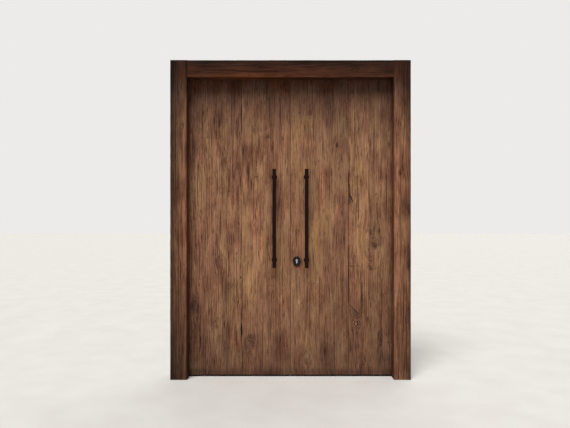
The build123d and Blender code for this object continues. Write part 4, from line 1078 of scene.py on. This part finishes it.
def screwTree(name, dome):
    # turns every point of a mesh into a screw head that faces along the point's aim
    tree = bpy.data.node_groups.new(name, "GeometryNodeTree")
    for title, kind in (("Geometry", "Geometry"), ("Head radius", "Float"), ("Recess width", "Float"),
                        ("Recess depth", "Float"), ("Seed", "Int"), ("Finish", "Material")):
        tree.interface.new_socket(title, in_out="INPUT", socket_type="NodeSocket" + kind)
    tree.interface.new_socket("Geometry", in_out="OUTPUT", socket_type="NodeSocketGeometry")
    given = addNode(tree, "NodeGroupInput")
    height = screw["rise"] if dome else 0.0
    if dome:
        ball = addNode(tree, "GeometryNodeMeshUVSphere", {"Segments": 20, "Rings": 10, "Radius": 1.0})
        body = addNode(tree, "GeometryNodeTransform", {"Scale": (1, 1, height)}, {"Geometry": ball})
    else:
        cone = addNode(tree, "GeometryNodeMeshCone", {
            "Vertices": 24, "Radius Top": 1.0, "Radius Bottom": screw["foot"], "Depth": screw["deep"]})
        body = addNode(tree, "GeometryNodeTransform", {"Translation": (0, 0, -screw["deep"])}, {"Geometry": cone})
    cut = addNode(tree, "GeometryNodeMeshBoolean", links={"Mesh 1": body}, operation="DIFFERENCE", solver="EXACT")
    size = addNode(tree, "CombineXYZ", {"X": screw["recessLength"]},
                   {"Y": given.outputs["Recess width"], "Z": given.outputs["Recess depth"]})
    bar = addNode(tree, "GeometryNodeMeshCube", links={"Size": size})
    for angle in (0, math.pi / 2):
        placed = addNode(tree, "GeometryNodeTransform", {"Translation": (0, 0, height), "Rotation": (0, 0, angle)},
                         {"Geometry": bar})
        tree.links.new(placed.outputs[0], cut.inputs["Mesh 2"])
    aim = addNode(tree, "GeometryNodeInputNamedAttribute", {"Name": "aim"}, data_type="FLOAT_VECTOR")
    upright = addNode(tree, "FunctionNodeAlignRotationToVector", links={"Vector": aim}, axis="Z")
    turn = addNode(tree, "FunctionNodeRandomValue", {2: 0.0, 3: math.pi}, {"Seed": given.outputs["Seed"]},
                   data_type="FLOAT")
    spin = addNode(tree, "CombineXYZ", links={"Z": turn.outputs[1]})
    turned = addNode(tree, "FunctionNodeRotateRotation", links={"Rotation": upright, "Rotate By": spin},
                     rotation_space="LOCAL")
    heads = addNode(tree, "GeometryNodeInstanceOnPoints", links={
        "Points": given, "Instance": cut, "Rotation": turned, "Scale": given.outputs["Head radius"]})
    real = addNode(tree, "GeometryNodeRealizeInstances", links={"Geometry": heads})
    finished = addNode(tree, "GeometryNodeSetMaterial", links={"Geometry": real, "Material": given.outputs["Finish"]})
    addNode(tree, "NodeGroupOutput", links={"Geometry": finished})
    return tree


screwTrees = {"countersunk": screwTree("countersunkScrews", False), "roundHead": screwTree("roundHeadScrews", True)}


def makeScrews(name, body, kind, places, finish, slot=None):
    # one piece of screws at the given places, each with the direction that it faces
    points = bpy.data.meshes.new(name)
    points.from_pydata([place for place, _ in places], [], [])
    aims = [value for _, aim in places for value in aim]
    points.attributes.new("aim", "FLOAT_VECTOR", "POINT").data.foreach_set("vector", aims)
    start = addObject(name + "_places", points)
    modifier = start.modifiers.new("screws", "NODES")
    modifier.node_group = screwTrees[kind]
    chosen = {"Head radius": screw[kind], "Recess width": screw["recess"], "Recess depth": screw["recessDepth"],
              "Seed": screw["seed"], "Finish": finishes[finish]}
    for item in modifier.node_group.interface.items_tree:
        if item.in_out == "INPUT" and item.name in chosen:
            modifier[item.identifier] = chosen[item.name]
    mesh = bakedMesh(start)
    bpy.data.objects.remove(start)
    mesh.materials.append(finishes[finish])
    mesh.shade_smooth()
    mesh.set_sharp_from_angle(angle=math.radians(creases["screw"]))
    addPiece(name, mesh, body, slot or finish)


# the flaps' screws: two staggered rows, a little below the face of the flap
flap = {"end": 0.014, "stagger": 0.030, "edge": 0.011, "sunk": 0.0002, "gap": 0.003}
flapPlaces = {"frame": [], "left_leaf": [], "right_leaf": []}
for side, outward in (("left", -1), ("right", 1)):
    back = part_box(f"{side}_hinge_stile")[1].y
    for level in ("bottom", "middle", "top"):
        axisLow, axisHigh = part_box(f"{side}_{level}_frame_flap")
        for kind, body, toward in (("frame_flap", "frame", -outward), ("leaf_flap", f"{side}_leaf", outward)):
            lowCorner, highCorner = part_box(f"{side}_{level}_{kind}")
            faceX = (axisLow.x + axisHigh.x) / 2 - toward * flap["gap"] / 2
            for end, edgeZ in ((-1, lowCorner.z), (1, highCorner.z)):
                outer = edgeZ - end * flap["end"]
                inner = outer - end * flap["stagger"]
                for y, z in ((back - flap["edge"], outer), (lowCorner.y + flap["edge"], inner)):
                    flapPlaces[body].append(((faceX - toward * flap["sunk"], y, z), (toward, 0, 0)))
for body, places in flapPlaces.items():
    makeScrews(f"{body}_hinge_screws", body, "countersunk", places, "hinge_screws", "hinge_steel")

# the plates of the surface bolts and the keeper, the lock's and the inner escutcheon
plate = {"thick": 0.003, "fromSide": 0.0062, "fromEnd": 0.034, "keeperSide": 0.00496, "keeperEnd": 0.008,
         "lockEnd": 0.009, "lockRise": 0.0001, "coverSunk": 0.0024, "coverSpread": 0.0262}
boltPlaces = []
for node, levels in (("top_bolt_body", 3), ("bottom_bolt_body", 2)):
    lowCorner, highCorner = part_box(node)
    for z in np.linspace(lowCorner.z + plate["fromEnd"], highCorner.z - plate["fromEnd"], levels):
        for x in (lowCorner.x + plate["fromSide"], highCorner.x - plate["fromSide"]):
            boltPlaces.append(((x, lowCorner.y + plate["thick"], float(z)), (0, 1, 0)))
makeScrews("surface_bolt_screws", "left_leaf", "roundHead", boltPlaces, "black_iron")
lowCorner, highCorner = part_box("top_bolt_keeper")
places = [((x, lowCorner.y + plate["thick"], z), (0, 1, 0))
          for x in (lowCorner.x + plate["keeperSide"], highCorner.x - plate["keeperSide"])
          for z in (lowCorner.z + plate["keeperEnd"], highCorner.z - plate["keeperEnd"])]
makeScrews("keeper_screws", "frame", "roundHead", places, "black_iron")
for node, body, toward in (("lock_faceplate", "right_leaf", -1), ("strike_plate", "left_leaf", 1)):
    lowCorner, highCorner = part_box(node)
    x = (lowCorner.x if toward < 0 else highCorner.x) + toward * plate["lockRise"]
    places = [((x, (lowCorner.y + highCorner.y) / 2, z), (toward, 0, 0))
              for z in (lowCorner.z + plate["lockEnd"], highCorner.z - plate["lockEnd"])]
    makeScrews(f"{node}_screws", body, "countersunk", places, "bright_steel")
lowCorner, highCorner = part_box("inner_escutcheon")
middle = (lowCorner + highCorner) / 2
places = [((middle.x, highCorner.y - plate["coverSunk"], middle.z + rise), (0, 1, 0))
          for rise in (-plate["coverSpread"], plate["coverSpread"])]
makeScrews("inner_escutcheon_screws", "right_leaf", "countersunk", places, "satin_nickel")
print("screws made")


camera = {"place": (-0.044, -4.5705, 1.309), "lens": 35.0, "shiftPixels": 3, "imageWidth": 570}
cameraData = bpy.data.cameras.new("camera")
cameraData.lens = camera["lens"]
cameraData.shift_y = camera["shiftPixels"] / camera["imageWidth"]
scene.camera = addObject("camera", cameraData)
scene.camera.location = camera["place"]
scene.camera.rotation_euler = (math.pi / 2, 0, 0)

lights = {
    # direction that the light travels in, strength on a surface that faces it, spread in degrees
    "sky": ((0.30, 1.0, -1.7), 1.27, 30),
    "rear": ((-0.35, -1.0, -1.1), 0.30, 60),
}
for name, (travel, strength, spread) in lights.items():
    data = bpy.data.lights.new(name, "SUN")
    data.energy = strength * math.pi
    data.angle = math.radians(spread)
    addObject(name, data).rotation_euler = Vector(travel).to_track_quat("-Z", "Y").to_euler()

# the dim light that the world casts, and the pale backdrop that the camera sees
studio = {"light": "#ffffff", "strength": 0.26, "seen": "#ecebe9"}
world = bpy.data.worlds.new("studio")
scene.world = world
world.use_nodes = True
sky = world.node_tree
sky.nodes.clear()
rays = addNode(sky, "LightPath").outputs
seen = addNode(sky, "Math", links={0: rays["Is Camera Ray"], 1: rays["Is Glossy Ray"]}, operation="ADD")
seenAll = addNode(sky, "Math", links={0: seen, 1: rays["Is Transmission Ray"]}, operation="ADD", use_clamp=True)
dim = addNode(sky, "Background", {"Color": linear(studio["light"]), "Strength": studio["strength"]})
plain = addNode(sky, "Background", {"Color": linear(studio["seen"]), "Strength": 1.0})
both = addNode(sky, "MixShader", links={0: seenAll, 1: dim, 2: plain})
addNode(sky, "OutputWorld", links={"Surface": both})

# pale smooth concrete with faint clouds
paleFloor = rampMaterial("paleFloor", "TexNoise", (mm, mm, mm), {"Scale": 3.0, "Detail": 4.0}, 0,
                         [(0.3, "#bbb7b2"), (0.7, "#c1beb9")], 0.85)
reach = 40.0
floorMesh = bpy.data.meshes.new("floor")
floorMesh.from_pydata([(-reach, -reach, 0), (reach, -reach, 0), (reach, reach, 0), (-reach, reach, 0)], [],
                      [(0, 1, 2, 3)])
floorMesh.materials.append(paleFloor)
floor = addObject("floor", floorMesh)

scene.view_settings.view_transform = "Standard"
print("camera, light and floor set")
